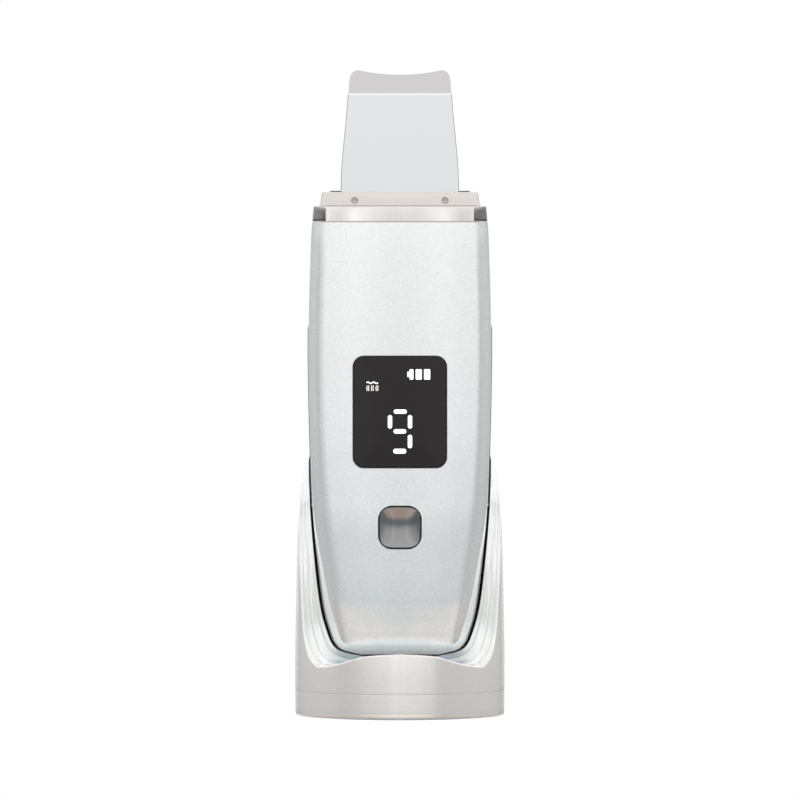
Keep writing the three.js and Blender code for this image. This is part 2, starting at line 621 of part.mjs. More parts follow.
// Thin soft lining of the pocket; its rim stops just short of the pocket's edge.
const LINER = { gap: 0.05, thick: 0.35, drop: 0.06, floor: 15.05 };
const linerOuter = handsetSolid(pocketLevels(DOCK_FLOOR_Z + LINER.gap), POCKET_CLEARANCE - LINER.gap);
const linerInner = handsetSolid(pocketLevels(LINER.floor), POCKET_CLEARANCE - LINER.gap - LINER.thick);
const liner = cut(
  common(linerOuter, dockBlank.clone().translate(0, 0, -LINER.drop)),
  linerInner,
  ...electrodeRelief(0.15),
  ...SIDES.map(([, side]) => post(side * CONTACT.x, CONTACT.y, 1.5, 12, 20, 14)),
);
add('cradle_liner', largest(liner), 'black', 0, 0.9);

// ---------------------------------------------------------------- dock base
const baseOuter = skin([
  wallDisc(0.25, 0), wallDisc(0.45, 0), wallDisc(1, 0), wallDisc(DOCK_SEAM_Z - 0.12, 0), wallDisc(DOCK_SEAM_Z, 0.12),
]);
const baseHollow = cut(
  skin([wallDisc(2.6, 2.2), wallDisc(8, 2.2)]),
  ...DOCK_SCREWS.map(([x, y]) => post(x, y, 2.9, 1, 9, 14)),
);
const dockBase = cut(
  baseOuter,
  baseHollow,
  skin([wallDisc(0, 2.4), wallDisc(1.2, 2.4)]),
  ...DOCK_SCREWS.map(([x, y]) => post(x, y, 2.3, 0, 3, 14)),
  ...DOCK_SCREWS.map(([x, y]) => post(x, y, 1.35, 0, 9, 12)),
);
add('dock_base', dockBase, 'pearl', 0.3, 0.35);
add('foot_pad', skin([wallDisc(0, 2.8), wallDisc(0.2, 2.55), wallDisc(1.15, 2.55)]), 'rubber', 0, 0.95);
add('dock_weight', flatPlate(25, 26, 3, 2.65, 6.2), 'grey', 1, 0.5);
DOCK_SCREWS.forEach(([x, y], i) => {
  const screw = turned([[0, 1.35], [2.1, 1.35], [2.1, 2.95], [1, 2.95], [1, 10.2], [0, 10.2]], 12);
  add(`dock_screw_${i + 1}`, screw.translate(x, y, 0), 'grey', 1, 0.35);
});

// ---------------------------------------------------------------- dock electronics
add('dock_board', flatPlate(24, 17.5, 1, 6.75, 7.7, 0, 8, 2), 'board', 0, 0.5);
const usbOuter = facePlate(USB.width, USB.height, 1.5, USB.front, USB.back, 0, USB.bottom + USB.height / 2);
const usbMouth = facePlate(USB.width - 0.6, USB.height - 0.6, 1.2, USB.front + 1, USB.back + 2, 0,
  USB.bottom + USB.height / 2);
const usbTongue = block(-3.3, 3.3, USB.front + 0.5, USB.back - 1, 9.05, 9.75);
add('usb_socket', join(cut(usbOuter, usbMouth), usbTongue), 'chrome', 1, 0.3);

const PIN = { rest: 15.1, travel: 0.8 };
const contactBlock = cut(
  block(-8, 8, CONTACT.y - 3.5, CONTACT.y + 3.5, 7.75, 12.5),
  ...SIDES.map(([, side]) => post(side * CONTACT.x, CONTACT.y, 1.5, 8.4, 11.6, 14)),
  ...SIDES.map(([, side]) => post(side * CONTACT.x, CONTACT.y, 1.05, 11, 14, 14)),
);
add('contact_block', contactBlock, 'black', 0, 0.5);
SIDES.forEach(([hand, side]) => {
  const pin = turned([[0, 10.1], [1.35, 10.1], [1.35, 11.5], [0.9, 11.5], [0.9, PIN.rest - 0.35],
    [0.6, PIN.rest - 0.06], [0, PIN.rest]], 14);
  add(`charge_pin_${hand}`, pin.translate(side * CONTACT.x, CONTACT.y, 0), 'gold', 1, 0.25);
});

export default group;
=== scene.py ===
"""Looks of the skin scrubber in its charging dock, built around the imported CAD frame."""
import json
import math

import bmesh
import bpy
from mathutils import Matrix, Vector


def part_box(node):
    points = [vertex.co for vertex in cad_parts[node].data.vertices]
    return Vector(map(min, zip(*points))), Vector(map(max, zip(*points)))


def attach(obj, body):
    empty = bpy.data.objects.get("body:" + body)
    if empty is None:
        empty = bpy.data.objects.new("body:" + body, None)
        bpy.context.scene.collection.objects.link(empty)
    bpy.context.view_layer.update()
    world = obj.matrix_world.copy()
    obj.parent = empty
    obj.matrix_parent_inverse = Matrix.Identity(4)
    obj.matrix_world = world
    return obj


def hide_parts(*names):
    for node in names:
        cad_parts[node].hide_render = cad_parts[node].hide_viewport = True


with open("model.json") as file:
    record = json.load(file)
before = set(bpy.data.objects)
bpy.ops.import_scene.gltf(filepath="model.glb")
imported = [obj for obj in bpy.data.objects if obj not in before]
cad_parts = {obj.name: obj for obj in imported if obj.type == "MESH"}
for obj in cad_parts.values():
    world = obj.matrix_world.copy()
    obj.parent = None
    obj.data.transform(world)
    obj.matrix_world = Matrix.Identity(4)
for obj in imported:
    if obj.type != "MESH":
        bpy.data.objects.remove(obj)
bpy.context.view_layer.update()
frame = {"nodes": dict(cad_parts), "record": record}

MM = 0.001
WELD = 1e-7


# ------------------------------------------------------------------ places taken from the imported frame
def low(node):
    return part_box(node)[0] / MM


def high(node):
    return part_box(node)[1] / MM


def middle(node):
    return (low(node) + high(node)) / 2


BASE_Z = low("front_shell").z
SHELL_TOP = high("front_shell").z
RING_TOP = high("trim_ring").z
COLLAR_TOP = high("nose_collar").z
TIP_Z = high("spatula_blade").z
SEAM_Z = high("dock_base").z
LENS_Z = 76.25
BUTTON_Z = (low("power_button").z + high("power_button").z) / 2

# Handset outline above its base: height, half width, half depth, width of the turned shoulder.
HANDSET = [
    [0.0, 10.5, 6.2, 3.2], [0.7, 13.0, 7.3, 3.4], [2.0, 15.5, 8.75, 4.2], [3.8, 16.85, 9.2, 5.2],
    [6.3, 17.75, 9.45, 6.0], [9.8, 18.8, 9.75, 6.5], [14.8, 19.7, 10.1, 6.6], [22.8, 20.6, 10.3, 6.2],
    [37.3, 21.8, 10.5, 4.9], [50.8, 22.3, 10.5, 4.4], [64.8, 22.65, 10.4, 4.3], [76.8, 22.8, 10.25, 4.3],
    [88.8, 22.68, 9.95, 4.3], [98.8, 22.38, 9.5, 4.2], [103.8, 22.22, 9.15, 4.1], [108.3, 21.95, 8.7, 4.0],
]
CROWN = 0.5
WALL = 1.8
FACE_SHARE = 0.25  # share of the places on a section that lie on half a face, and as many on half a flank

# Dock wall: height, half width, half depth in front, half depth behind, squareness behind.
DOCK_WALL = [
    [0.25, 25.6, 22.35, 22.35, 2.0], [0.45, 25.95, 22.7, 22.7, 2.0], [1.0, 26.2, 22.95, 22.95, 2.0],
    [11.0, 26.25, 23.0, 23.0, 2.0], [19.0, 26.15, 22.9, 22.7, 2.05], [29.0, 25.95, 22.8, 21.7, 2.25],
    [39.0, 25.75, 22.7, 20.3, 2.5], [46.0, 25.5, 22.6, 19.2, 2.7], [52.0, 25.2, 22.4, 18.3, 2.85],
    [60.0, 24.85, 22.3, 17.1, 2.9], [65.0, 24.65, 22.3, 16.4, 3.0], [72.0, 24.3, 22.2, 15.4, 3.1],
]

# Rim bearing, rim height, place round the handset section, pocket edge height; front centre to back centre.
DOCK_RIM = [
    [-90.0, 16.55, -1.0, 15.05], [-72.0, 16.0, -0.853, 15.05], [-56.0, 14.15, -0.71, 15.1],
    [-45.6, 13.3, -0.56, 15.65], [-39.3, 13.1, -0.36, 16.6], [-33.0, 14.4, -0.31, 18.9],
    [-28.0, 16.6, -0.305, 21.5], [-23.6, 20.3, -0.3, 25.0], [-19.8, 26.9, -0.295, 31.0],
    [-15.5, 35.0, -0.28, 38.0], [-8.5, 46.0, -0.13, 47.5], [0.0, 53.0, 0.03, 54.0],
    [8.1, 57.9, 0.1, 58.2], [17.5, 61.7, 0.185, 61.5], [25.5, 64.8, 0.32, 64.2],
    [38.0, 67.6, 0.5, 66.6], [58.0, 69.8, 0.74, 68.6], [90.0, 71.0, 1.0, 69.6],
]
RIM_STEPS = [[i / (len(DOCK_RIM) - 1), *row] for i, row in enumerate(DOCK_RIM)]
POCKET_CLEARANCE = 0.65
POCKET_FLOOR = 14.6


# ------------------------------------------------------------------ curves
def along(table, at):
    """Shape-preserving cubic through table rows [position, value...]."""
    last = len(table) - 1
    s = min(max(at, table[0][0]), table[last][0])
    i = 0
    while i < last - 1 and s > table[i + 1][0]:
        i += 1
    h = table[i + 1][0] - table[i][0]
    u = (s - table[i][0]) / h

    def rise(j, col):
        return (table[j + 1][col] - table[j][col]) / (table[j + 1][0] - table[j][0])

    def slope(j, col):
        if j == 0:
            return rise(0, col)
        if j == last:
            return rise(last - 1, col)
        a, b = rise(j - 1, col), rise(j, col)
        return 0.0 if a * b <= 0 else 2 * a * b / (a + b)

    values = []
    for col in range(1, len(table[0])):
        a, b = table[i][col], table[i + 1][col]
        values.append((2 * u ** 3 - 3 * u ** 2 + 1) * a + (u ** 3 - 2 * u ** 2 + u) * h * slope(i, col)
                      + (3 * u ** 2 - 2 * u ** 3) * b + (u ** 3 - u ** 2) * h * slope(i + 1, col))
    return values


def lerp(a, b, t):
    return a + (b - a) * t


def smooth(t):
    t = min(max(t, 0.0), 1.0)
    return t * t * (3 - 2 * t)


def section_point(width, depth, shoulder, place, crown=CROWN):
    """Point on a section with crowned faces, round shoulders and flat flanks; place runs -1 front, 0 side, 1 back."""
    side = -1 if place < 0 else 1
    q = 1 - abs(place)
    lean = math.atan(2 * crown / (width - shoulder))
    edge = width - shoulder * (1 - math.sin(lean))
    if q <= FACE_SHARE:
        r = q / FACE_SHARE
        return edge * r, side * (depth - crown * r * r)
    turn = math.pi / 2 if q >= 1 - FACE_SHARE else lean + (q - FACE_SHARE) / 0.5 * (math.pi / 2 - lean)
    x = edge + shoulder * (math.sin(turn) - math.sin(lean))
    y = depth - crown - shoulder * (math.cos(lean) - math.cos(turn))
    return x, side * y * min((1 - q) / FACE_SHARE, 1)


def handset_point(z, place, grow=0.0):
    width, depth, shoulder = along(HANDSET, z - BASE_Z)
    x, y = section_point(width + grow, depth + grow, shoulder, place)
    return x, y, z


def face_y(x, z):
    """Depth of the handset's front face at a point near its middle."""
    width, depth, shoulder = along(HANDSET, z - BASE_Z)
    return -(depth - CROWN * (x / (width - shoulder)) ** 2)


def spread(count, bias=0.0):
    """Places from -1 to 1, denser round the shoulders with bias."""
    out = []
    for i in range(count + 1):
        t = 2 * i / count - 1
        out.append(t + bias * math.sin(2 * math.pi * t) / (2 * math.pi))
    return out


def mirrored(places, point_at):
    right = [point_at(p) for p in places]
    left = [(-x, y, z) for x, y, z in reversed(right[1:-1])]
    return right + left


# ------------------------------------------------------------------ meshes
def mesh_piece(name, verts, faces, sharp=32.0):
    """Links a welded mesh of points in millimetres, normals outwards, smooth up to sharp degrees."""
    mesh = bpy.data.meshes.new(name)
    mesh.from_pydata([[c * MM for c in v] for v in verts], [], faces)
    bm = bmesh.new()
    bm.from_mesh(mesh)
    bmesh.ops.remove_doubles(bm, verts=bm.verts, dist=WELD)
    bmesh.ops.recalc_face_normals(bm, faces=bm.faces)
    bm.to_mesh(mesh)
    bm.free()
    mesh.validate()
    obj = bpy.data.objects.new(name, mesh)
    bpy.context.scene.collection.objects.link(obj)
    mesh.shade_smooth()
    mesh.set_sharp_from_angle(angle=math.radians(sharp))
    return obj


def skin(name, rings, start=None, end=None, sharp=32.0, cyclic=False):
    """Closed mesh through equal rings given in millimetres, capped with a point at each end, or closed on itself."""
    count = len(rings[0])
    verts = [p for ring in rings for p in ring]
    faces = []
    rows = len(rings)
    for j in range(rows if cyclic else rows - 1):
        for i in range(count):
            n = (i + 1) % count
            a, b = j * count, ((j + 1) % rows) * count
            faces.append((a + i, a + n, b + n, b + i))
    if not cyclic:
        for ring, point, flip in ((0, start, True), (rows - 1, end, False)):
            base = ring * count
            if point is None:
                point = [sum(p[k] for p in rings[ring]) / count for k in range(3)]
            verts.append(tuple(point))
            hub = len(verts) - 1
            for i in range(count):
                n = (i + 1) % count
                faces.append((hub, base + n, base + i) if flip else (hub, base + i, base + n))
    return mesh_piece(name, verts, faces, sharp)


def carve(obj, tools, operation="DIFFERENCE", sharp=32.0):
    """Applies booleans with the tool objects, which are then removed."""
    for tool in tools:
        mod = obj.modifiers.new("cut", "BOOLEAN")
        mod.operation = operation
        mod.solver = "EXACT"
        mod.object = tool
    depsgraph = bpy.context.evaluated_depsgraph_get()
    mesh = bpy.data.meshes.new_from_object(obj.evaluated_get(depsgraph))
    obj.modifiers.clear()
    old = obj.data
    obj.data = mesh
    bpy.data.meshes.remove(old)
    for tool in tools:
        gone = tool.data
        bpy.data.objects.remove(tool)
        bpy.data.meshes.remove(gone)
    obj.data.shade_smooth()
    obj.data.set_sharp_from_angle(angle=math.radians(sharp))
    return obj


def rounded_outline(width, height, corner, per_corner=10, per_edge=1):
    """Rounded rectangle as (x, z) pairs about the origin, counter-clockwise."""
    pts = []
    cx, cz = width / 2 - corner, height / 2 - corner
    for quarter, (sx, sz) in enumerate(((1, 1), (-1, 1), (-1, -1), (1, -1))):
        for i in range(per_corner + 1):
            a = math.pi / 2 * (quarter + i / per_corner)
            pts.append((sx * cx + corner * math.cos(a), sz * cz + corner * math.sin(a)))
    return pts


def plate(name, width, height, corner, y0, y1, x=0.0, z=0.0, bevel=0.0):
    """Rounded plate facing -Y, with bevelled front edge."""
    def ring(inset, y):
        return [(x + px, y, z + pz) for px, pz in
                rounded_outline(width - 2 * inset, height - 2 * inset, max(corner - inset, 0.05))]
    rings = [ring(0, y1)]
    if bevel:
        for i in range(4):
            a = math.pi / 2 * i / 3
            rings.append(ring(bevel * (1 - math.cos(a)), y0 + bevel * (1 - math.sin(a))))
    else:
        rings.append(ring(0, y0))
    return skin(name, rings)


def circle(x, y, radius, sides):
    return [(x + radius * math.cos(2 * math.pi * i / sides), y + radius * math.sin(2 * math.pi * i / sides))
            for i in range(sides)]


def tube(name, x, y, z0, z1, radius):
    """Upright cylinder."""
    return skin(name, [[(px, py, z) for px, py in circle(x, y, radius, 32)] for z in (z0, z1)])


def rod(name, x, z, radius, y0, y1):
    """Cylinder along Y."""
    return skin(name, [[(px, y, pz) for px, pz in circle(x, z, radius, 40)] for y in (y0, y1)])


# ------------------------------------------------------------------ materials
FLAKE_SCALE = 3200.0


def nodes_of(name):
    mat = bpy.data.materials.new(name)
    mat.use_nodes = True
    tree = mat.node_tree
    return mat, tree, tree.nodes["Principled BSDF"]


def new(tree, kind, **values):
    node = tree.nodes.new(kind)
    for key, value in values.items():
        if key in node.inputs:
            node.inputs[key].default_value = value
        else:
            setattr(node, key, value)
    return node


def math_node(tree, operation, a, b=None):
    node = new(tree, "ShaderNodeMath", operation=operation)
    for socket, value in zip(node.inputs, (a, b)):
        if value is None:
            continue
        if isinstance(value, (int, float)):
            socket.default_value = value
        else:
            tree.links.new(value, socket)
    return node.outputs[0]


def painted_hollow_shade(tree, color, dark, sideways, forwards, upwards):
    """Paints shade into the colour: darker on the part that lies low and near the middle, where little light gets in.
    """
    split = new(tree, "ShaderNodeSeparateXYZ")
    tree.links.new(new(tree, "ShaderNodeTexCoord").outputs["Object"], split.inputs["Vector"])
    away = math_node(tree, "ABSOLUTE", split.outputs["X"])
    ahead = math_node(tree, "MULTIPLY", split.outputs["Y"], -1)
    share = 0.0
    for source, (low_end, high_end) in ((away, sideways), (ahead, forwards), (split.outputs["Z"], upwards)):
        span = new(tree, "ShaderNodeMapRange", interpolation_type="SMOOTHSTEP")
        span.inputs["From Min"].default_value = low_end
        span.inputs["From Max"].default_value = high_end
        tree.links.new(source, span.inputs["Value"])
        share = math_node(tree, "MAXIMUM", span.outputs["Result"], share)
    mix = new(tree, "ShaderNodeMix", data_type="RGBA")
    mix.inputs["A"].default_value = (*dark, 1)
    tree.links.new(share, mix.inputs["Factor"])
    tree.links.new(color, mix.inputs["B"])
    return mix.outputs["Result"]


def material(name, color, metallic=0.0, roughness=0.4, grain=900.0, grain_color=0.04, grain_bump=0.0, grain_rough=0.05,
             flake=0.0, coat=0.0, coat_rough=0.1, brushed=None, emission=0.0, specular=0.5, hollow=None):
    """Principled material with fine colour, roughness and relief variation in object space."""
    mat, tree, bsdf = nodes_of(name)
    place = new(tree, "ShaderNodeTexCoord").outputs["Object"]
    if brushed:
        mapping = new(tree, "ShaderNodeMapping", Scale=brushed)
        tree.links.new(place, mapping.inputs["Vector"])
        place = mapping.outputs["Vector"]
    noise = new(tree, "ShaderNodeTexNoise", Scale=grain, Detail=4.0, Roughness=0.6)
    tree.links.new(place, noise.inputs["Vector"])
    dark = [c * (1 - grain_color) for c in color[:3]] + [1]
    light = [min(c * (1 + grain_color), 1) for c in color[:3]] + [1]
    mix = new(tree, "ShaderNodeMix", data_type="RGBA")
    mix.inputs["A"].default_value = dark
    mix.inputs["B"].default_value = light
    tree.links.new(noise.outputs["Fac"], mix.inputs["Factor"])
    color_out = mix.outputs["Result"]
    if flake:
        cells = new(tree, "ShaderNodeTexVoronoi", Scale=FLAKE_SCALE)
        tree.links.new(place, cells.inputs["Vector"])
        gray = new(tree, "ShaderNodeRGBToBW")
        tree.links.new(cells.outputs["Color"], gray.inputs["Color"])
        span = new(tree, "ShaderNodeMapRange")
        span.inputs["To Min"].default_value = 1 - flake
        span.inputs["To Max"].default_value = 1 + flake * 0.8
        tree.links.new(gray.outputs["Val"], span.inputs["Value"])
        scale = new(tree, "ShaderNodeVectorMath", operation="SCALE")
        tree.links.new(color_out, scale.inputs[0])
        tree.links.new(span.outputs["Result"], scale.inputs["Scale"])
        color_out = scale.outputs["Vector"]
    # hollow paints shade into the base colour, darker where little light gets in.
    if hollow:
        color_out = painted_hollow_shade(tree, color_out, *hollow)
    tree.links.new(color_out, bsdf.inputs["Base Color"])
    rough = new(tree, "ShaderNodeMapRange")
    rough.inputs["To Min"].default_value = max(roughness - grain_rough, 0.02)
    rough.inputs["To Max"].default_value = roughness + grain_rough
    tree.links.new(noise.outputs["Fac"], rough.inputs["Value"])
    tree.links.new(rough.outputs["Result"], bsdf.inputs["Roughness"])
    if grain_bump or flake:
        bump = new(tree, "ShaderNodeBump", Strength=1.0, Distance=max(grain_bump, flake * 6e-6))
        tree.links.new(gray.outputs["Val"] if flake else noise.outputs["Fac"], bump.inputs["Height"])
        tree.links.new(bump.outputs["Normal"], bsdf.inputs["Normal"])
    bsdf.inputs["Metallic"].default_value = metallic
    bsdf.inputs["IOR"].default_value = 1.5
    bsdf.inputs["Specular IOR Level"].default_value = specular
    bsdf.inputs["Coat Weight"].default_value = coat
    bsdf.inputs["Coat Roughness"].default_value = coat_rough
    if emission:
        bsdf.inputs["Emission Color"].default_value = [*color[:3], 1]
        bsdf.inputs["Emission Strength"].default_value = emission
    return mat


MATERIALS = {
    "body_pearl": material("body_pearl", (0.87, 0.885, 0.88), 0.5, 0.115, grain=1100, grain_color=0.012,
                           flake=0.09, grain_rough=0.01),
    "dock_pearl": material("dock_pearl", (0.95, 0.915, 0.875), 0.5, 0.13, grain=260, grain_color=0.012,
                           flake=0.045, grain_rough=0.02),
    # scoop_gloss: hollow paints shade into the colour, darker low down and near the middle of the scoop, where little
    # light gets in.
    "scoop_gloss": material("scoop_gloss", (0.94, 0.945, 0.93), 0.3, 0.10, grain=260, grain_color=0.01,
                            flake=0.015, grain_rough=0.02, coat=0.6, coat_rough=0.04,
                            hollow=((0.50, 0.56, 0.58), (0.0135, 0.0195), (0.0135, 0.0185), (0.018, 0.030))),
    "chrome_trim": material("chrome_trim", (0.87, 0.84, 0.83), 1.0, 0.04, grain=7, grain_color=0.06, grain_rough=0.01,
                            brushed=(60.0, 60.0, 1.0)),
    "button_chrome": material("button_chrome", (0.36, 0.355, 0.355), 1.0, 0.10, grain=120, grain_color=0.03,
                              grain_rough=0.03),
    "hand_metal": material("hand_metal", (0.72, 0.73, 0.75), 1.0, 0.24, grain=80, grain_color=0.03, grain_rough=0.05,
                           brushed=(30.0, 30.0, 1.5)),
    "collar_ivory": material("collar_ivory", (0.665, 0.62, 0.595), 0.1, 0.38, grain=500, grain_color=0.015,
                             grain_bump=4e-6),
    "pin_metal": material("pin_metal", (0.60, 0.57, 0.56), 0.8, 0.35, grain=900, grain_color=0.06, grain_bump=3e-6),
    "blade_steel": material("blade_steel", (0.985, 0.99, 1.0), 1.0, 0.12, grain=60, grain_color=0.012,
                            grain_rough=0.02, brushed=(3.0, 20.0, 40.0)),
    "seal_rubber": material("seal_rubber", (0.12, 0.12, 0.125), 0.0, 0.75, grain=1500, grain_color=0.2,
                            grain_bump=1e-5),
    "display_black": material("display_black", (0.020, 0.017, 0.017), 0.0, 0.08, grain=300, grain_color=0.1,
                              grain_rough=0.02, specular=0.22),
    "display_white": material("display_white", (0.97, 0.96, 0.94), 0.0, 0.4, grain=800, grain_color=0.01,
                              emission=0.54),
    "screw_steel": material("screw_steel", (0.55, 0.56, 0.58), 1.0, 0.32, grain=700, grain_color=0.06,
                            grain_bump=4e-6),
    "board_green": material("board_green", (0.06, 0.24, 0.13), 0.0, 0.4, grain=420, grain_color=0.25,
                            grain_bump=6e-6, coat=0.5, coat_rough=0.2),
    "chip_black": material("chip_black", (0.035, 0.035, 0.038), 0.0, 0.55, grain=1400, grain_color=0.2,
                           grain_bump=8e-6),
    "ferrite": material("ferrite", (0.15, 0.13, 0.12), 0.1, 0.6, grain=900, grain_color=0.3, grain_bump=1.5e-5),
    "cell_blue": material("cell_blue", (0.10, 0.25, 0.46), 0.0, 0.3, grain=200, grain_color=0.08, grain_bump=1e-5,
                          coat=0.4),
    "foam": material("foam", (0.10, 0.10, 0.10), 0.0, 0.95, grain=1500, grain_color=0.4, grain_bump=5e-5),
    "lead_red": material("lead_red", (0.55, 0.05, 0.04), 0.0, 0.4, grain=700, grain_color=0.08, grain_bump=5e-6),
    "lead_black": material("lead_black", (0.04, 0.04, 0.04), 0.0, 0.45, grain=700, grain_color=0.15, grain_bump=5e-6),
    "piezo_ceramic": material("piezo_ceramic", (0.72, 0.69, 0.60), 0.2, 0.45, grain=1200, grain_color=0.08,
                              grain_bump=6e-6),
    "contact_gold": material("contact_gold", (0.83, 0.62, 0.27), 1.0, 0.2, grain=900, grain_color=0.05,
                             grain_bump=2e-6),
    "liner_black": material("liner_black", (0.012, 0.012, 0.013), 0.0, 0.9, grain=2500, grain_color=0.3,
                            grain_bump=1e-5, specular=0.15),
    "weight_steel": material("weight_steel", (0.28, 0.28, 0.29), 0.9, 0.6, grain=500, grain_color=0.15,
                             grain_bump=1.5e-5),
    "socket_metal": material("socket_metal", (0.66, 0.67, 0.69), 1.0, 0.25, grain=300, grain_color=0.05,
                             grain_rough=0.06),
}


def dress(obj, slot, body, *replaced, look=None):
    """Gives a piece the material of its slot or look, puts it under its body and hides the CAD nodes it stands for."""
    obj.data.materials.clear()
    obj.data.materials.append(MATERIALS[look or slot])
    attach(obj, body)
    if replaced:
        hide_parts(*replaced)
    return obj


for entry in frame["record"]["subparts"]:
    cad = frame["nodes"][entry["node"]]
    cad.data.materials.clear()
    cad.data.materials.append(MATERIALS[entry["material_slot"]])


# ------------------------------------------------------------------ handset shells
SEAM_GROOVE, SEAM_NOTCH = 0.07, 0.14
SHELL_FLOOR = 2.1


def shell_half(name, side, columns=150, rows=150):
    """One closed half shell: outside rows up from the base centre, over the mouth and down the inside."""
    levels = []
    for i in range(rows + 1):
        t = i / rows
        levels.append(BASE_Z + (SHELL_TOP - BASE_Z) * (0.35 * t * t + 0.65 * t if t < 1 else 1))
    outer, inner = [], []
    places = [i / columns for i in range(columns + 1)]

    def half_row(z, grow, notch):
        row = []
        for t in places:
            # t runs from the left flank over the face to the right flank
            place = -(1 - abs(2 * t - 1))
            x, y, _ = handset_point(z, place, grow)
            sign = -1 if t < 0.5 else 1
            row.append((sign * x, y if side < 0 else -y, z))
        if notch:
            for index in (0, -1):
                x, y, zz = row[index]
                row[index] = (x - math.copysign(notch, x), side * SEAM_GROOVE * 0.5, zz)
            flank = handset_point(z, 0.0, grow)[0] - 0.004
            for index in (1, -2):
                x, y, zz = row[index]
                row[index] = (math.copysign(flank, x), side * SEAM_GROOVE * 1.8, zz)
        return row

    inner_low = BASE_Z + SHELL_FLOOR
    for z in levels:
        outer.append(half_row(z, 0.0, SEAM_NOTCH))
        zi = lerp(inner_low, SHELL_TOP, (z - BASE_Z) / (SHELL_TOP - BASE_Z))
        row = half_row(zi, -WALL, 0.0)
        row[0] = (row[0][0], side * SEAM_GROOVE * 0.5, zi)
        row[-1] = (row[-1][0], side * SEAM_GROOVE * 0.5, zi)
        inner.append(row)
    hub_out = (0.0, side * SEAM_GROOVE * 0.5, BASE_Z)
    hub_in = (0.0, side * SEAM_GROOVE * 0.5, inner_low)
    count = columns + 1
    verts = [p for row in outer for p in row] + [p for row in inner for p in row] + [hub_out, hub_in]
    n_out = len(outer) * count
    hub_a, hub_b = len(verts) - 2, len(verts) - 1
    faces = []
    for j in range(len(outer) - 1):
        for i in range(columns):
            a = j * count + i
            faces.append((a, a + 1, a + 1 + count, a + count))
            b = n_out + a
            faces.append((b, b + count, b + 1 + count, b + 1))
        for i in (0, columns):
            a, b = j * count + i, n_out + j * count + i
            faces.append((a, a + count, b + count, b))
    top = (len(outer) - 1) * count
    for i in range(columns):
        faces.append((top + i, top + i + 1, n_out + top + i + 1, n_out + top + i))
        faces.append((hub_a, i + 1, i))
        faces.append((hub_b, n_out + i, n_out + i + 1))
    faces.append((hub_a, 0, n_out, hub_b))
    faces.append((hub_a, hub_b, n_out + columns, columns))
    return mesh_piece(name, verts, faces, 28.0)


CONTACT_X, CONTACT_Y = 5, 3.2
LENS = {"width": 23.5, "height": 28.0, "corner": 2.8}
BUTTON = {"size": 10.5, "corner": 3.3}
ELECTRODE = {"low": low("hand_electrode_right").z, "high": high("hand_electrode_right").z, "half": 2.8, "proud": 0.25}


def electrode_bar(name, side, inner, outer, half, z0, z1, steps=60, soft=0.25, ends=0.0):
    """Bar along one flank whose outer face follows the body; its long edges are rounded by soft."""
    rings = []
    for i in range(steps + 1):
        t = i / steps
        z = lerp(z0, z1, t)
        flank = along(HANDSET, z - BASE_Z)[0]
        tuck = 0.0
        if ends:
            reach = min(z - z0, z1 - z)
            if reach < ends:
                tuck = ends - math.sqrt(max(ends ** 2 - (ends - reach) ** 2, 0))
        h = half - tuck
        ring = [(flank - inner, -h), (flank + outer - soft - 0.02, -h)]
        for k in range(1, 6):
            a = math.pi / 2 * k / 5
            ring.append((flank + outer - soft + soft * math.sin(a), -h + soft * (1 - math.cos(a))))
        ring += [(x, -y) for x, y in reversed(ring)]
        rings.append([(side * x, y, z) for x, y in ring])
    return skin(name, rings)


def electrode_cutters():
    return [electrode_bar(f"slot_{side}", side, 0.92, 4, ELECTRODE["half"] + 0.1,
                          ELECTRODE["low"] - 0.1, ELECTRODE["high"] + 0.1, 12) for side in (-1, 1)]


front = shell_half("front_shell_skin", -1)
carve(front, [
    plate("cut_lens", LENS["width"] + 0.16, LENS["height"] + 0.16, LENS["corner"] + 0.08, -14, -9.15, 0, LENS_Z),
    plate("cut_module", 19.6, 24.2, 1.5, -14, -6, 0, LENS_Z),
    plate("cut_button", BUTTON["size"] + 0.4, BUTTON["size"] + 0.4, BUTTON["corner"] + 0.2, -14, -6, 0, BUTTON_Z),
    *electrode_cutters(),
])
dress(front, "body_pearl", "handset", "front_shell")

screws = [middle(f"shell_screw_{i}") for i in range(1, 5)]
back = shell_half("back_shell_skin", 1)
carve(back, [
    *electrode_cutters(),
    *[rod(f"cut_head_{i}", p.x, p.z, 2.3, 6.0, 14) for i, p in enumerate(screws)],
    *[rod(f"cut_hole_{i}", p.x, p.z, 1.3, -1, 14) for i, p in enumerate(screws)],
    *[tube(f"cut_contact_{s}", s * CONTACT_X, CONTACT_Y, 10, 20, 1.68) for s in (-1, 1)],
])
dress(back, "body_pearl", "handset", "back_shell")

for side, hand in ((-1, "left"), (1, "right")):
    bar = electrode_bar(f"hand_electrode_bar_{hand}", side, 0.8, ELECTRODE["proud"], ELECTRODE["half"],
                        ELECTRODE["low"], ELECTRODE["high"], 90, 0.25, 0.5)
    dress(bar, "hand_metal", "handset", f"hand_electrode_{hand}")


# ------------------------------------------------------------------ trim ring, collar, seal, blade
def band(width, depth, shoulder, z, crown=0.25, steps=160):
    return mirrored(spread(steps), lambda p: (*section_point(width, depth, shoulder, p, crown), z))


KNEE = {"angle": math.radians(24), "radius": 0.7, "flat": 18.3}


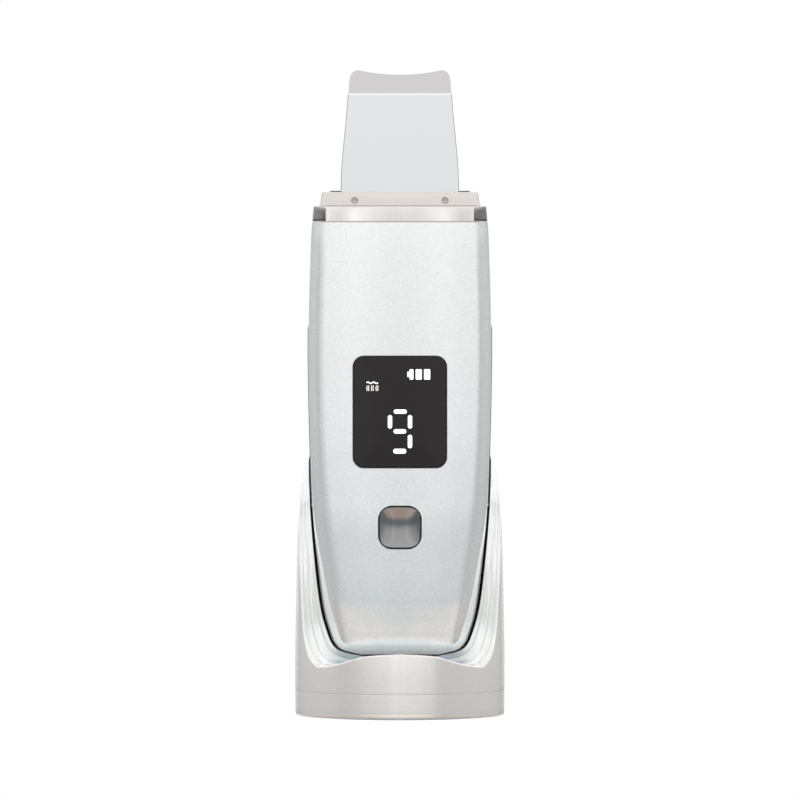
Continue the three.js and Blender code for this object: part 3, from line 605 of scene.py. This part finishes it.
def knee_point(width, depth, crown, place):
    """Section of the trim ring: crowned faces, a tight knee and then a wide round shoulder."""
    side = -1 if place < 0 else 1
    q = 1 - abs(place)
    flat, bend, small = KNEE["flat"], KNEE["angle"], KNEE["radius"]
    lean = math.atan(2 * crown / flat)
    start = flat + small * (math.sin(bend) - math.sin(lean))
    drop = depth - crown - small * (math.cos(lean) - math.cos(bend))
    big = (width - start) / (1 - math.sin(bend))
    if q <= FACE_SHARE:
        r = q / FACE_SHARE
        return flat * r, side * (depth - crown * r * r)
    if q <= 0.35:
        turn = lerp(lean, bend, (q - FACE_SHARE) / 0.1)
        return (flat + small * (math.sin(turn) - math.sin(lean)),
                side * (depth - crown - small * (math.cos(lean) - math.cos(turn))))
    turn = lerp(bend, math.pi / 2, min((q - 0.35) / 0.4, 1))
    y = drop - big * (math.cos(bend) - math.cos(turn))
    return start + big * (math.sin(turn) - math.sin(bend)), side * y * min((1 - q) / FACE_SHARE, 1)


def lathe_band(name, profile, steps=200, sharp=30.0):
    """Closed ring-shaped piece from a list of (width, depth, shoulder, z, crown) that closes on itself."""
    rings = []
    for width, depth, shoulder, z, crown in profile:
        if shoulder < 4:
            rings.append(mirrored(spread(steps), lambda p: (*knee_point(width, depth, crown, p), z)))
        else:
            rings.append(band(width, depth, shoulder, z, crown, steps))
    return skin(name, rings, sharp=sharp, cyclic=True)


def arc_rows(a, b, bow, count=5):
    """Rows from a to b with a rounded corner bulging outwards by bow."""
    rows = []
    for i in range(count + 1):
        t = i / count
        swell = bow * math.sin(math.pi * t)
        rows.append([lerp(a[0], b[0], t) + swell, lerp(a[1], b[1], t) + swell, lerp(a[2], b[2], t),
                     lerp(a[3], b[3], t), lerp(a[4], b[4], t)])
    return rows


ring_profile = [
    (20.05, 6.8, 4.0, SHELL_TOP + 0.06, CROWN), (21.7, 8.45, 3.4, SHELL_TOP + 0.06, 0.5),
    *arc_rows((21.74, 8.49, 3.4, SHELL_TOP + 0.08, 0.5), (21.88, 8.63, 3.4, SHELL_TOP + 0.24, 0.5), 0.015),
    (21.86, 8.61, 3.4, SHELL_TOP + 1.0, 0.5), (21.78, 8.53, 3.4, SHELL_TOP + 2.0, 0.5),
    (21.7, 8.47, 3.4, RING_TOP - 1.0, 0.5),
    *arc_rows((21.6, 8.38, 3.4, RING_TOP - 0.2, 0.5), (21.42, 8.2, 3.4, RING_TOP - 0.01, 0.5), 0.04),
    (21.3, 8.08, 3.4, RING_TOP, 0.5), (20.05, 6.8, 4.0, RING_TOP, CROWN),
]
dress(lathe_band("trim_ring_band", ring_profile), "chrome_trim", "handset", "trim_ring")

collar_rows = [
    (19.85, 6.55, 4.0, low("nose_collar").z, CROWN), (19.85, 6.55, 4.0, RING_TOP + 0.04, CROWN),
    (20.1, 7.65, 2.4, RING_TOP + 0.06, 0.25),
    *arc_rows((20.18, 7.73, 2.4, RING_TOP + 0.1, 0.25), (19.92, 7.66, 2.4, RING_TOP + 0.55, 0.25), 0.0),
    (19.8, 7.6, 2.4, RING_TOP + 1.1, 0.25), (19.7, 7.5, 2.4, RING_TOP + 1.9, 0.25),
    (19.64, 7.36, 2.4, RING_TOP + 2.6, 0.25),
    *arc_rows((19.58, 7.2, 2.4, COLLAR_TOP - 0.4, 0.25), (19.3, 6.92, 2.4, COLLAR_TOP, 0.25), 0.07, 8),
    (18.6, 6.0, 2.2, COLLAR_TOP, 0.25),
]
collar = skin("nose_collar_body", [band(*row) for row in collar_rows], sharp=34)
pins = [middle(f"collar_pin_{h}") for h in ("left", "right")]


def flat_plate(name, width, depth, corner, z0, z1, bevel=0.0):
    def ring(inset, z):
        return [(px, py, z) for px, py in
                rounded_outline(width - 2 * inset, depth - 2 * inset, max(corner - inset, 0.05), 12)]
    rings = [ring(0, z0), ring(0, z1 - bevel)] if bevel else [ring(0, z0)]
    if bevel:
        for i in range(1, 4):
            a = math.pi / 2 * i / 3
            rings.append(ring(bevel * (1 - math.cos(a)), z1 - bevel * (1 - math.sin(a))))
    else:
        rings.append(ring(0, z1))
    return skin(name, rings)


carve(collar, [
    skin("cut_skirt", [band(18.1, 4.9, 3, 118, 0.25), band(18.1, 4.9, 3, 126.6, 0.25)]),
    flat_plate("cut_blade", 30.6, 1.8, 0.6, 124, 133),
    flat_plate("cut_seal", 35.4, 4.6, 2.25, COLLAR_TOP - 0.9, 134),
    *[rod(f"cut_pin_{i}", p.x, p.z, 0.85, -9, -3.2) for i, p in enumerate(pins)],
], sharp=34)
dress(collar, "collar_ivory", "handset", "nose_collar")

for hand, p in zip(("left", "right"), pins):
    rings = [[(x, y, z) for x, z in circle(p.x, p.z, radius, 32)]
             for radius, y in ((0.82, -3.4), (0.82, -7.1), (0.76, -7.18), (0.6, -7.2), (0.35, -7.13))]
    dress(skin(f"collar_pin_head_{hand}", rings, end=(p.x, -7.1, p.z)), "pin_metal", "handset", f"collar_pin_{hand}")

gasket = flat_plate("blade_seal_lip", 35.2, 4.4, 2.15, low("blade_seal").z, COLLAR_TOP, 0.1)
carve(gasket, [flat_plate("ridge", 34.9, 0.9, 0.42, low("blade_seal").z + 0.3, high("blade_seal").z, 0.1)], "UNION")
carve(gasket, [flat_plate("cut_gasket", 30.0, 1.0, 0.4, 128, 134)])
dress(gasket, "seal_rubber", "handset", "blade_seal")

BEND_Z = TIP_Z - 6.0
TIP_DIP, TIP_PEAK = 1.2, 10.6
TIP_LEAN = math.tan(math.radians(18))
BLADE = [
    [104, 9.6, 0.4], [105, 10.5, 0.4], [126.2, 10.5, 0.4], [127.2, 14.85, 0.4], [131, 14.8, 0.4],
    [136.5, 14.62, 0.4], [141.5, 14.24, 0.4], [146.5, 13.74, 0.4], [151.5, 13.31, 0.4], [155, 13.02, 0.4],
    [155.9, 12.95, 0.4], [159.0, 12.75, 0.34], [160.0, 12.55, 0.28], [160.7, 12.2, 0.24], [161.2, 11.55, 0.2],
    [161.5, 10.6, 0.17],
]


def blade_piece():
    levels = [104, 104.4, 105, 115, 126.2, 126.7, 127.2] + [lerp(128, BEND_Z - 1, i / 24) for i in range(25)]
    levels += [lerp(BEND_Z - 0.8, BEND_Z + 0.8, i / 10) for i in range(11)]
    levels += [lerp(BEND_Z + 1, 160, i / 12) for i in range(13)]
    levels += [TIP_Z - 1.5 * (1 - math.sin(math.pi / 2 * i / 12)) for i in range(1, 13)]
    shares = [lerp(-0.97, 0.97, i / 56) for i in range(57)]
    shares = [-1, -0.9985, -0.996, -0.99, -0.98] + shares + [0.98, 0.99, 0.996, 0.9985, 1]
    columns = len(shares) - 1
    rings = []
    for z in levels:
        width, thick = along(BLADE, z)
        rise = max(z - BEND_Z, 0.0)
        soft = max(z - (BEND_Z - 0.35), 0.0)
        bent = soft * soft / 1.4 if soft < 0.7 else soft - 0.35
        row = []
        for r in shares:
            x = r * width
            scoop = max(1 - (x / TIP_PEAK) ** 2, 0.0)
            dip = rise / (TIP_Z - BEND_Z) * TIP_DIP * scoop
            edge = min(1.0, (1 - abs(r)) * width / 0.14)
            half = thick * (0.45 + 0.55 * math.sqrt(1 - (1 - edge) ** 2))
            row.append((x, max(bent - dip, 0) * TIP_LEAN, z - dip, half))
        front_row = [(x, y - h, zz) for x, y, zz, h in row]
        back_row = [(x, y + h, zz) for x, y, zz, h in reversed(row)]
        rings.append(front_row + back_row)
    count = len(rings[0])
    verts = [p for ring in rings for p in ring]
    faces = []
    for j in range(len(rings) - 1):
        for i in range(count):
            n = (i + 1) % count
            faces.append((j * count + i, j * count + n, (j + 1) * count + n, (j + 1) * count + i))
    top = (len(rings) - 1) * count
    for i in range(columns):
        back = count - 1 - i
        faces.append((i, back, back - 1, i + 1))
        faces.append((top + i, top + i + 1, top + back - 1, top + back))
    return mesh_piece("spatula_blade_sheet", verts, faces, 40)


dress(blade_piece(), "blade_steel", "handset", "spatula_blade")


# ------------------------------------------------------------------ display
def on_face(name, outline, proud, depth):
    """Flat shape from (x, z) pairs, lying on the handset's face: proud in front, depth thick."""
    cx = sum(p[0] for p in outline) / len(outline)
    cz = sum(p[1] for p in outline) / len(outline)
    rings = [[(x, face_y(x, z) - proud + depth, z) for x, z in outline],
             [(x, face_y(x, z) - proud, z) for x, z in outline]]
    return skin(name, rings, start=(cx, face_y(cx, cz) - proud + depth, cz), end=(cx, face_y(cx, cz) - proud, cz),
                sharp=40)


def lens_piece():
    def ring(inset, y_of):
        pts = rounded_outline(LENS["width"] - 2 * inset, LENS["height"] - 2 * inset,
                              max(LENS["corner"] - inset, 0.4), 14)
        return [(x, y_of(x, LENS_Z + z), LENS_Z + z) for x, z in pts]
    rings = [ring(0, lambda x, z: -9.2), ring(0, lambda x, z: face_y(x, z) + 0.16)]
    for i in range(1, 5):
        a = math.pi / 2 * i / 4
        rings.append(ring(0.16 * (1 - math.cos(a)), lambda x, z, a=a: face_y(x, z) + 0.16 * (1 - math.sin(a))))
    for inset in (0.6, 1.6, 3.2, 5.2, 7.4, 9.4, 10.6):
        rings.append(ring(inset, face_y))
    return skin("display_lens_glass", rings, start=(0, -9.2, LENS_Z), end=(0, face_y(0, LENS_Z), LENS_Z), sharp=40)


dress(lens_piece(), "display_black", "handset", "display_lens")


def capsule(x0, x1, z0, z1, radius=None, per=6):
    """Rounded bar as (x, z) pairs between two corners."""
    w, h = abs(x1 - x0), abs(z1 - z0)
    r = min(w, h) / 2 if radius is None else radius
    cx, cz = (x0 + x1) / 2, (z0 + z1) / 2
    return [(cx + px, cz + pz) for px, pz in rounded_outline(w, h, r * 0.999, per)]


GLYPHS = {}
SEGMENTS = {
    "top": (-1.53, 1.73, 76.89, 75.82), "upper_left": (-3.0, -1.92, 75.49, 72.13),
    "upper_right": (1.98, 3.06, 75.49, 72.13), "middle": (-1.59, 1.6, 71.99, 70.88),
    "lower_right": (1.96, 3.06, 70.59, 67.22), "bottom": (-1.68, 1.6, 67.11, 65.88),
}
for key, (x0, x1, z1, z0) in SEGMENTS.items():
    GLYPHS[f"digit_{key}"] = capsule(x0, x1, z0, z1)
for i, (x0, x1) in enumerate(((2.4, 3.38), (3.92, 5.46), (6.0, 7.56))):
    GLYPHS[f"battery_bar_{i + 1}"] = capsule(x0, x1, 84.32, 86.9, 0.22, 3)
GLYPHS["battery_nub"] = capsule(1.84, 2.44, 84.95, 86.3, 0.15, 3)


def stroke(points, thick):
    """Outline of an even stroke along a line of (x, z) points, with mitred corners."""
    left, right = [], []
    for i, (x, z) in enumerate(points):
        before, after = points[max(i - 1, 0)], points[min(i + 1, len(points) - 1)]
        a = Vector((x - before[0], z - before[1]))
        b = Vector((after[0] - x, after[1] - z))
        a = (a if a.length else b).normalized()
        b = (b if b.length else a).normalized()
        side = Vector((-(a + b).y, (a + b).x)).normalized()
        reach = thick / 2 / max(side.dot(Vector((-a.y, a.x))), 0.5)
        left.append((x + side.x * reach, z + side.y * reach))
        right.append((x - side.x * reach, z - side.y * reach))
    return right + left[::-1]


def strip_on_face(name, outline, proud, depth):
    """Long thin shape on the face, made as a ribbon so that it needs no centre fan."""
    half = len(outline) // 2
    lower, upper = outline[:half], outline[half:][::-1]
    verts, faces = [], []
    for (ax, az), (bx, bz) in zip(lower, upper):
        for x, z in ((ax, az), (bx, bz)):
            verts.append((x, face_y(x, z) - proud, z))
            verts.append((x, face_y(x, z) - proud + depth, z))
    for i in range(half - 1):
        a, b = 4 * i, 4 * (i + 1)
        faces += [(a, a + 2, b + 2, b), (a + 1, b + 1, b + 3, a + 3),
                  (a, b, b + 1, a + 1), (a + 2, a + 3, b + 3, b + 2)]
    faces += [(0, 1, 3, 2), (4 * half - 4, 4 * half - 2, 4 * half - 1, 4 * half - 3)]
    return mesh_piece(name, verts, faces, 40)


STROKES = {
    "vapour_wave": ([(lerp(-8.3, -5.45, i / 32), 83.52 + 0.17 * math.sin(4 * math.pi * i / 32)) for i in range(33)],
                    0.3),
}
for i in range(6):
    x = -8.2 + 1.14 * (i // 2) + 0.42 * (i % 2)
    STROKES[f"vapour_curl_{i + 1}"] = (
        [(x + 0.08 * math.sin(3.2 * math.pi * j / 16), lerp(82.85, 81.5, j / 16)) for j in range(17)], 0.15)

PROUD, SUNK = 0.03, 0.12
for key, outline in GLYPHS.items():
    dress(on_face(key, outline, PROUD, SUNK), "display_white", "handset")
for key, (points, thick) in STROKES.items():
    dress(strip_on_face(key, stroke(points, thick), PROUD, SUNK), "display_white", "handset")


# ------------------------------------------------------------------ power button
BUTTON_SIDES = 96


def soft_square(reach, y):
    def soft(v):
        return math.copysign(abs(v) ** 0.5, v) * reach
    angles = [2 * math.pi * (i + 0.5) / BUTTON_SIDES for i in range(BUTTON_SIDES)]
    return [(soft(math.cos(a)), y, BUTTON_Z + soft(math.sin(a))) for a in angles]


BUTTON_BEVEL = 0.22


def button_piece():
    half = BUTTON["size"] / 2 - 0.04
    face = low("power_button").y

    def dished(reach):
        ring = []
        for x, _, z in soft_square(reach, 0):
            across, up = x / half, (z - BUTTON_Z) / half
            hollow = max(1 - up * up, 0) * max(1 - abs(across) ** 3, 0)
            ring.append((x, face + 0.62 * hollow, z))
        return ring
    rings = [soft_square(half + 1, -7.7), soft_square(half + 1, -8.38), soft_square(half, -8.38),
             soft_square(half, face + BUTTON_BEVEL + 0.1)]
    for i in range(1, 5):
        a = math.pi / 2 * i / 4
        rings.append(soft_square(half - BUTTON_BEVEL * (1 - math.cos(a)),
                                 face + 0.1 + BUTTON_BEVEL * (1 - math.sin(a))))
    rings += [dished((half - BUTTON_BEVEL - 0.02) * (1 - i / 28)) for i in range(0, 28)]
    return skin("power_button_cap", rings, start=(0, -7.7, BUTTON_Z), end=(0, face + 0.62, BUTTON_Z), sharp=38)


button = dress(button_piece(), "button_chrome", "button", "power_button")
# The bevelled edge gets the black material as painted shade, standing in for the shaded gap round the button.
button.data.materials.append(MATERIALS["chip_black"])
for face in button.data.polygons:
    face.material_index = int(1 <= face.index // BUTTON_SIDES <= 7)


# ------------------------------------------------------------------ dock
INSIDE = 0.015  # keeps the smooth wall within the CAD box


def wall_point(z, bearing, inset=0.0):
    wide, front_deep, back_deep, square = along(DOCK_WALL, z)
    inset += INSIDE
    a = math.radians(bearing)
    if a < 0:
        return (wide - inset) * max(math.cos(a), 0), (front_deep - inset) * math.sin(a), z
    power = 2 / square
    return (wide - inset) * max(math.cos(a), 0) ** power, (back_deep - inset) * math.sin(a) ** power, z


def scoop_frame(place):
    def ends(s):
        bearing, rim_z, around, edge_z = along(RIM_STEPS, s)
        return (Vector(wall_point(rim_z, bearing)), Vector(handset_point(edge_z, around, POCKET_CLEARANCE)),
                bearing, around, rim_z, edge_z)
    at = (place + 1) / 2
    rim, edge, bearing, around, rim_z, edge_z = ends(at)
    a, b = ends(max(at - 0.02, 0)), ends(min(at + 0.02, 1))
    run = (b[0] + b[1] - a[0] - a[1]) / 2
    across = edge - rim
    inward = -run.cross(across).normalized()
    return {"rim": rim, "bearing": bearing, "around": around, "rim_z": rim_z, "edge_z": edge_z,
            "across": across, "inward": inward, "at": at}


DOCK_COLUMNS = spread(220)
FRAMES = [scoop_frame(p) for p in DOCK_COLUMNS]


def dock_row(point_at):
    right = []
    for place, s in zip(DOCK_COLUMNS, FRAMES):
        x, y, z = point_at(s)
        right.append((0.0 if abs(place) >= 1 else x, y, z))
    return right + [(-x, y, z) for x, y, z in reversed(right[1:-1])]


def scoop_point(s, k):
    span = s["across"].length
    ripple = (0.017 * math.sin(2 * math.pi * 3.2 * k + 2.6 * s["at"] + 0.4)
              + 0.009 * math.sin(2 * math.pi * 6.1 * k - 5.0 * s["at"])) * span * math.sin(math.pi * k) ** 0.7
    front_fade = smooth((s["at"] - 0.06) / 0.12)
    depth = 0.36 * span * k * (1 - k) + ripple * front_fade
    p = s["rim"] + s["across"] * k + s["inward"] * depth
    return tuple(p)


def disc(z, inset):
    right = [wall_point(z, 90 * p, inset) for p in DOCK_COLUMNS]
    right[0] = (0.0, *right[0][1:])
    right[-1] = (0.0, *right[-1][1:])
    return right + [(-x, y, zz) for x, y, zz in reversed(right[1:-1])]


CAVITY_TOP = 11.2
rows = [disc(CAVITY_TOP, 2.6), disc(CAVITY_TOP - 0.2, 2.4), disc(SEAM_Z + 0.05, 2.4)]
for inset, dz in ((0.06, 0.0), (0.025, 0.015), (0.006, 0.035), (0.0, 0.08)):
    rows.append(dock_row(lambda s, i=inset, d=dz: wall_point(SEAM_Z + 0.05 + d, s["bearing"], i)))
for i in range(1, 25):
    rows.append(dock_row(lambda s, f=i / 25: wall_point(lerp(SEAM_Z + 0.33, s["rim_z"] - 0.4, f), s["bearing"])))
for i in range(0, 7):
    a = math.pi / 2 * i / 6
    rows.append(dock_row(lambda s, a=a: wall_point(s["rim_z"] - 0.32 * (1 - math.sin(a)), s["bearing"],
                                                   0.32 * (1 - math.cos(a)))))
SCOOP_ROWS = range(len(rows) - 1, len(rows) + 37)
for i in range(3, 41):
    rows.append(dock_row(lambda s, k=i / 41: scoop_point(s, k)))
for f in (0.995, 0.98, 0.94, 0.85, 0.7, 0.5, 0.3, 0.16, 0.08, 0.03, 0.01, 0.0):
    rows.append(dock_row(lambda s, f=f: handset_point(lerp(POCKET_FLOOR, s["edge_z"], f), s["around"],
                                                      POCKET_CLEARANCE)))
dock = dress(skin("dock_shell_skin", rows, start=(0, 0, CAVITY_TOP), end=(0, 0, POCKET_FLOOR), sharp=42),
             "dock_pearl", "dock", "dock_shell")
dock.data.materials.append(MATERIALS["scoop_gloss"])
for face in dock.data.polygons:
    face.material_index = int(face.index // len(rows[0]) in SCOOP_ROWS)

usb_low, usb_high = low("usb_socket"), high("usb_socket")
usb_z = (usb_low.z + usb_high.z) / 2
carve(dock, [
    *[tube(f"cut_pin_{s}", s * CONTACT_X, CONTACT_Y, 5, 20, 1.5) for s in (-1, 1)],
    plate("cut_usb", 9.3, 3.55, 1.7, 14, 27, 0, usb_z),
], sharp=42)

base_rows = [disc(1.25, 2.5), disc(0.25, 2.4)]
for i in range(0, 9):
    a = math.pi / 2 * i / 8
    base_rows.append(disc(0.25 + 0.5 * (1 - math.cos(a)), 0.12 * (1 - math.sin(a))))
base_rows += [disc(lerp(0.8, SEAM_Z - 0.2, i / 6), 0.0) for i in range(1, 7)]
for i in range(0, 4):
    a = math.pi / 2 * i / 3
    base_rows.append(disc(SEAM_Z - 0.06 * (1 - math.sin(a)), 0.06 * (1 - math.cos(a))))
base_rows += [disc(SEAM_Z, 2.2), disc(2.6, 2.2)]
base = skin("dock_base_tray", base_rows, start=(0, 0, 1.25), end=(0, 0, 2.6), sharp=42)
dress(base, "dock_pearl", "dock", "dock_base")

pad_rows = [disc(0.0, 3.1), disc(0.02, 2.85), disc(0.2, 2.6), disc(1.1, 2.6)]
pad = skin("foot_pad_sole", pad_rows, start=(0, 0, 0.0), end=(0, 0, 1.1), sharp=42)
dress(pad, "seal_rubber", "dock", "foot_pad")

# The lining is a real black rubber part; its near-black colour is also painted shade, kept this dark so the narrow gap
# round the handset stays dark.
LINER = {"outer": 0.6, "inner": 0.35, "drop": 0.05, "under": POCKET_FLOOR + 0.05, "floor": 15.05 - 0.03}
wall_steps = (0.0, 0.01, 0.03, 0.08, 0.16, 0.3, 0.5, 0.7, 0.85, 0.94, 0.98, 1.0)


def liner_row(f, grow, floor):
    def at(s):
        top = max(s["edge_z"] - LINER["drop"], floor + 0.01)
        return handset_point(lerp(floor, top, f), s["around"], grow)
    return dock_row(at)


liner_rows = [liner_row(f, LINER["outer"], LINER["under"]) for f in wall_steps]
liner_rows += [liner_row(f, LINER["inner"], LINER["floor"]) for f in reversed(wall_steps)]
liner = skin("cradle_lining", liner_rows, start=(0, 0, LINER["under"]), end=(0, 0, LINER["floor"]), sharp=50)
dress(liner, "liner_black", "dock", "cradle_liner")


# ------------------------------------------------------------------ studio
# Brightness round the horizon by bearing in degrees: 0 faces the object's front, negative is its left.
PANELS = [
    (-180, (0.86, 0.86, 0.95)), (-157, (0.80, 0.80, 0.88)), (-148, (0.30, 0.30, 0.32)), (-68, 0.21),
    (-63, 0.13), (-52, 0.14), (-44, 0.24), (-34, 0.46), (-20, 0.64), (-9, 0.76), (-6.4, 1.06), (-5.8, 0.72),
    (-5.2, 0.86), (-4.5, 1.18), (-3.7, 1.02), (-2.5, 0.86), (0, 0.80), (1.8, 0.82), (3.2, 0.94), (4.1, 1.08),
    (4.8, 0.96), (5.4, 0.66), (6.1, 0.86), (8, 0.80), (18, 0.80), (24, 0.64), (32, 0.56), (37, 0.24),
    (46, 0.16), (58, 0.18),
    (148, 0.24), (160, (0.76, 0.76, 0.80)),
]
# Share of that brightness by height of the direction: 0 straight down, 0.5 level, 1 straight up.
HEIGHTS = [
    (0.0, (0.30, 0.38, 0.42)), (0.225, (0.32, 0.40, 0.44)), (0.24, (1.0, 0.82, 0.72)), (0.372, (1.0, 0.84, 0.74)),
    (0.390, (0.60, 0.56, 0.54)), (0.399, (0.38, 0.42, 0.45)), (0.435, (0.38, 0.42, 0.44)),
    (0.462, (0.48, 0.51, 0.53)), (0.478, (0.73, 0.75, 0.77)), (0.49, (0.90, 0.91, 0.93)),
    (0.50, (0.96, 0.97, 0.98)), (0.53, 1.02), (0.60, 1.06),
]


TIP_CARD = (0.665, 0.635, 0.63)  # what the leaning tip of the blade mirrors

# Soft lights: place, aim, size, power and colour.
LIGHTS = {
    "key_above": ((0.0, -0.24, 0.26), (0, 0, 0.10), (0.22, 0.1), 0.20, (1, 1, 1)),
    "front_left": ((-0.5, -0.5, 0.25), (0, 0, 0.09), (0.3, 0.4), 0.52, (0.96, 0.99, 0.98)),
    "front_right": ((0.5, -0.5, 0.25), (0, 0, 0.09), (0.3, 0.4), 0.50, (0.96, 0.99, 0.98)),
    "side_left": ((-0.6, 0.0, 0.12), (0, 0, 0.09), (0.3, 0.4), 1.05, (0.97, 0.985, 1.0)),
    "side_right": ((0.6, 0.0, 0.12), (0, 0, 0.09), (0.3, 0.4), 1.2, (0.97, 0.985, 1.0)),
}


def ramp_node(tree, stops, factor):
    node = new(tree, "ShaderNodeValToRGB")
    tree.links.new(factor, node.inputs["Fac"])
    elements = node.color_ramp.elements
    while len(elements) < len(stops):
        elements.new(0.5)
    for element, (at, value) in zip(elements, stops):
        element.position = at
        element.color = (*value, 1) if isinstance(value, tuple) else (value, value, value, 1)
    return node.outputs["Color"]


def mix_color(tree, factor, a, b, kind="MIX"):
    node = new(tree, "ShaderNodeMix", data_type="RGBA", blend_type=kind)
    for key, value in (("Factor", factor), ("A", a), ("B", b)):
        if isinstance(value, bpy.types.NodeSocket):
            tree.links.new(value, node.inputs[key])
        else:
            node.inputs[key].default_value = (*value, 1) if isinstance(value, tuple) else value
    return node.outputs["Result"]


def studio():
    scene = bpy.context.scene
    world = bpy.data.worlds.new("studio")
    scene.world = world
    world.use_nodes = True
    tree = world.node_tree
    tree.nodes.clear()
    coord = new(tree, "ShaderNodeTexCoord")
    split = new(tree, "ShaderNodeSeparateXYZ")
    tree.links.new(coord.outputs["Generated"], split.inputs["Vector"])
    x, y, z = split.outputs
    bearing = math_node(tree, "ARCTAN2", x, math_node(tree, "MULTIPLY", y, -1))
    share = math_node(tree, "ADD", math_node(tree, "DIVIDE", bearing, 2 * math.pi), 0.5)
    round_color = ramp_node(tree, [(0.5 + d / 360, v) for d, v in PANELS], share)
    height = math_node(tree, "ADD", math_node(tree, "MULTIPLY", z, 0.5), 0.5)
    height_color = ramp_node(tree, HEIGHTS, height)
    wall = mix_color(tree, 1.0, round_color, height_color, "MULTIPLY")
    dome = ramp_node(tree, [(0.55, 0.0), (0.72, 1.0)], height)
    above = mix_color(tree, dome, wall, (0.98, 0.99, 1.0))
    ahead = ramp_node(tree, [(0.44, 0.0), (0.46, 1.0), (0.54, 1.0), (0.56, 0.0)], share)
    card = ramp_node(tree, [(0.70, 1.0), (0.74, TIP_CARD), (0.92, TIP_CARD), (0.97, 1.0)], height)
    sky = mix_color(tree, ahead, above, mix_color(tree, 1.0, above, card, "MULTIPLY"))
    lit = new(tree, "ShaderNodeBackground", Strength=1.0)
    tree.links.new(sky, lit.inputs["Color"])
    seen = new(tree, "ShaderNodeBackground", Strength=1.0)
    seen.inputs["Color"].default_value = (1, 1, 1, 1)
    path = new(tree, "ShaderNodeLightPath")
    mix = new(tree, "ShaderNodeMixShader")
    tree.links.new(path.outputs["Is Camera Ray"], mix.inputs["Fac"])
    tree.links.new(lit.outputs[0], mix.inputs[1])
    tree.links.new(seen.outputs[0], mix.inputs[2])
    out = new(tree, "ShaderNodeOutputWorld")
    tree.links.new(mix.outputs[0], out.inputs["Surface"])

    mesh = bpy.data.meshes.new("floor")
    size = 0.25
    mesh.from_pydata([(-size, -size, 0), (size, -size, 0), (size, size, 0), (-size, size, 0)], [], [(0, 1, 2, 3)])
    floor = bpy.data.objects.new("studio_floor", mesh)
    scene.collection.objects.link(floor)
    mat, ftree, bsdf = nodes_of("studio_floor")
    bsdf.inputs["Base Color"].default_value = (0.5, 0.5, 0.5, 1)
    bsdf.inputs["Roughness"].default_value = 0.9
    bsdf.inputs["Specular IOR Level"].default_value = 0.1
    bsdf.inputs["Emission Color"].default_value = (1, 0.985, 0.97, 1)
    glow = new(ftree, "ShaderNodeMapRange")
    glow.inputs["To Min"].default_value = 0.25
    glow.inputs["To Max"].default_value = 0.78
    ftree.links.new(new(ftree, "ShaderNodeLightPath").outputs["Is Camera Ray"], glow.inputs["Value"])
    ftree.links.new(glow.outputs["Result"], bsdf.inputs["Emission Strength"])
    mesh.materials.append(mat)
    floor.visible_glossy = False

    for name, (place, target, (wide, tall), power, color) in LIGHTS.items():
        data = bpy.data.lights.new(name, "AREA")
        data.shape = "RECTANGLE"
        data.size, data.size_y = wide, tall
        data.energy = power
        data.color = color
        obj = bpy.data.objects.new(name, data)
        scene.collection.objects.link(obj)
        obj.location = place
        obj.rotation_euler = (Vector(target) - Vector(place)).to_track_quat("-Z", "Y").to_euler()
        obj.visible_glossy = False
        obj.visible_camera = False


studio()

CAMERA_AWAY, CAMERA_Z, AIM_Z = 2.2, 0.130, 0.079
camera_data = bpy.data.cameras.new("camera")
camera_data.sensor_width = 36
camera_data.lens = 396
camera = bpy.data.objects.new("camera", camera_data)
bpy.context.scene.collection.objects.link(camera)
camera.location = (0.00003, -CAMERA_AWAY, CAMERA_Z)
camera.rotation_euler = (math.radians(90) - math.atan2(CAMERA_Z - AIM_Z, CAMERA_AWAY), 0, 0)
bpy.context.scene.camera = camera
bpy.context.scene.view_settings.view_transform = "Standard"
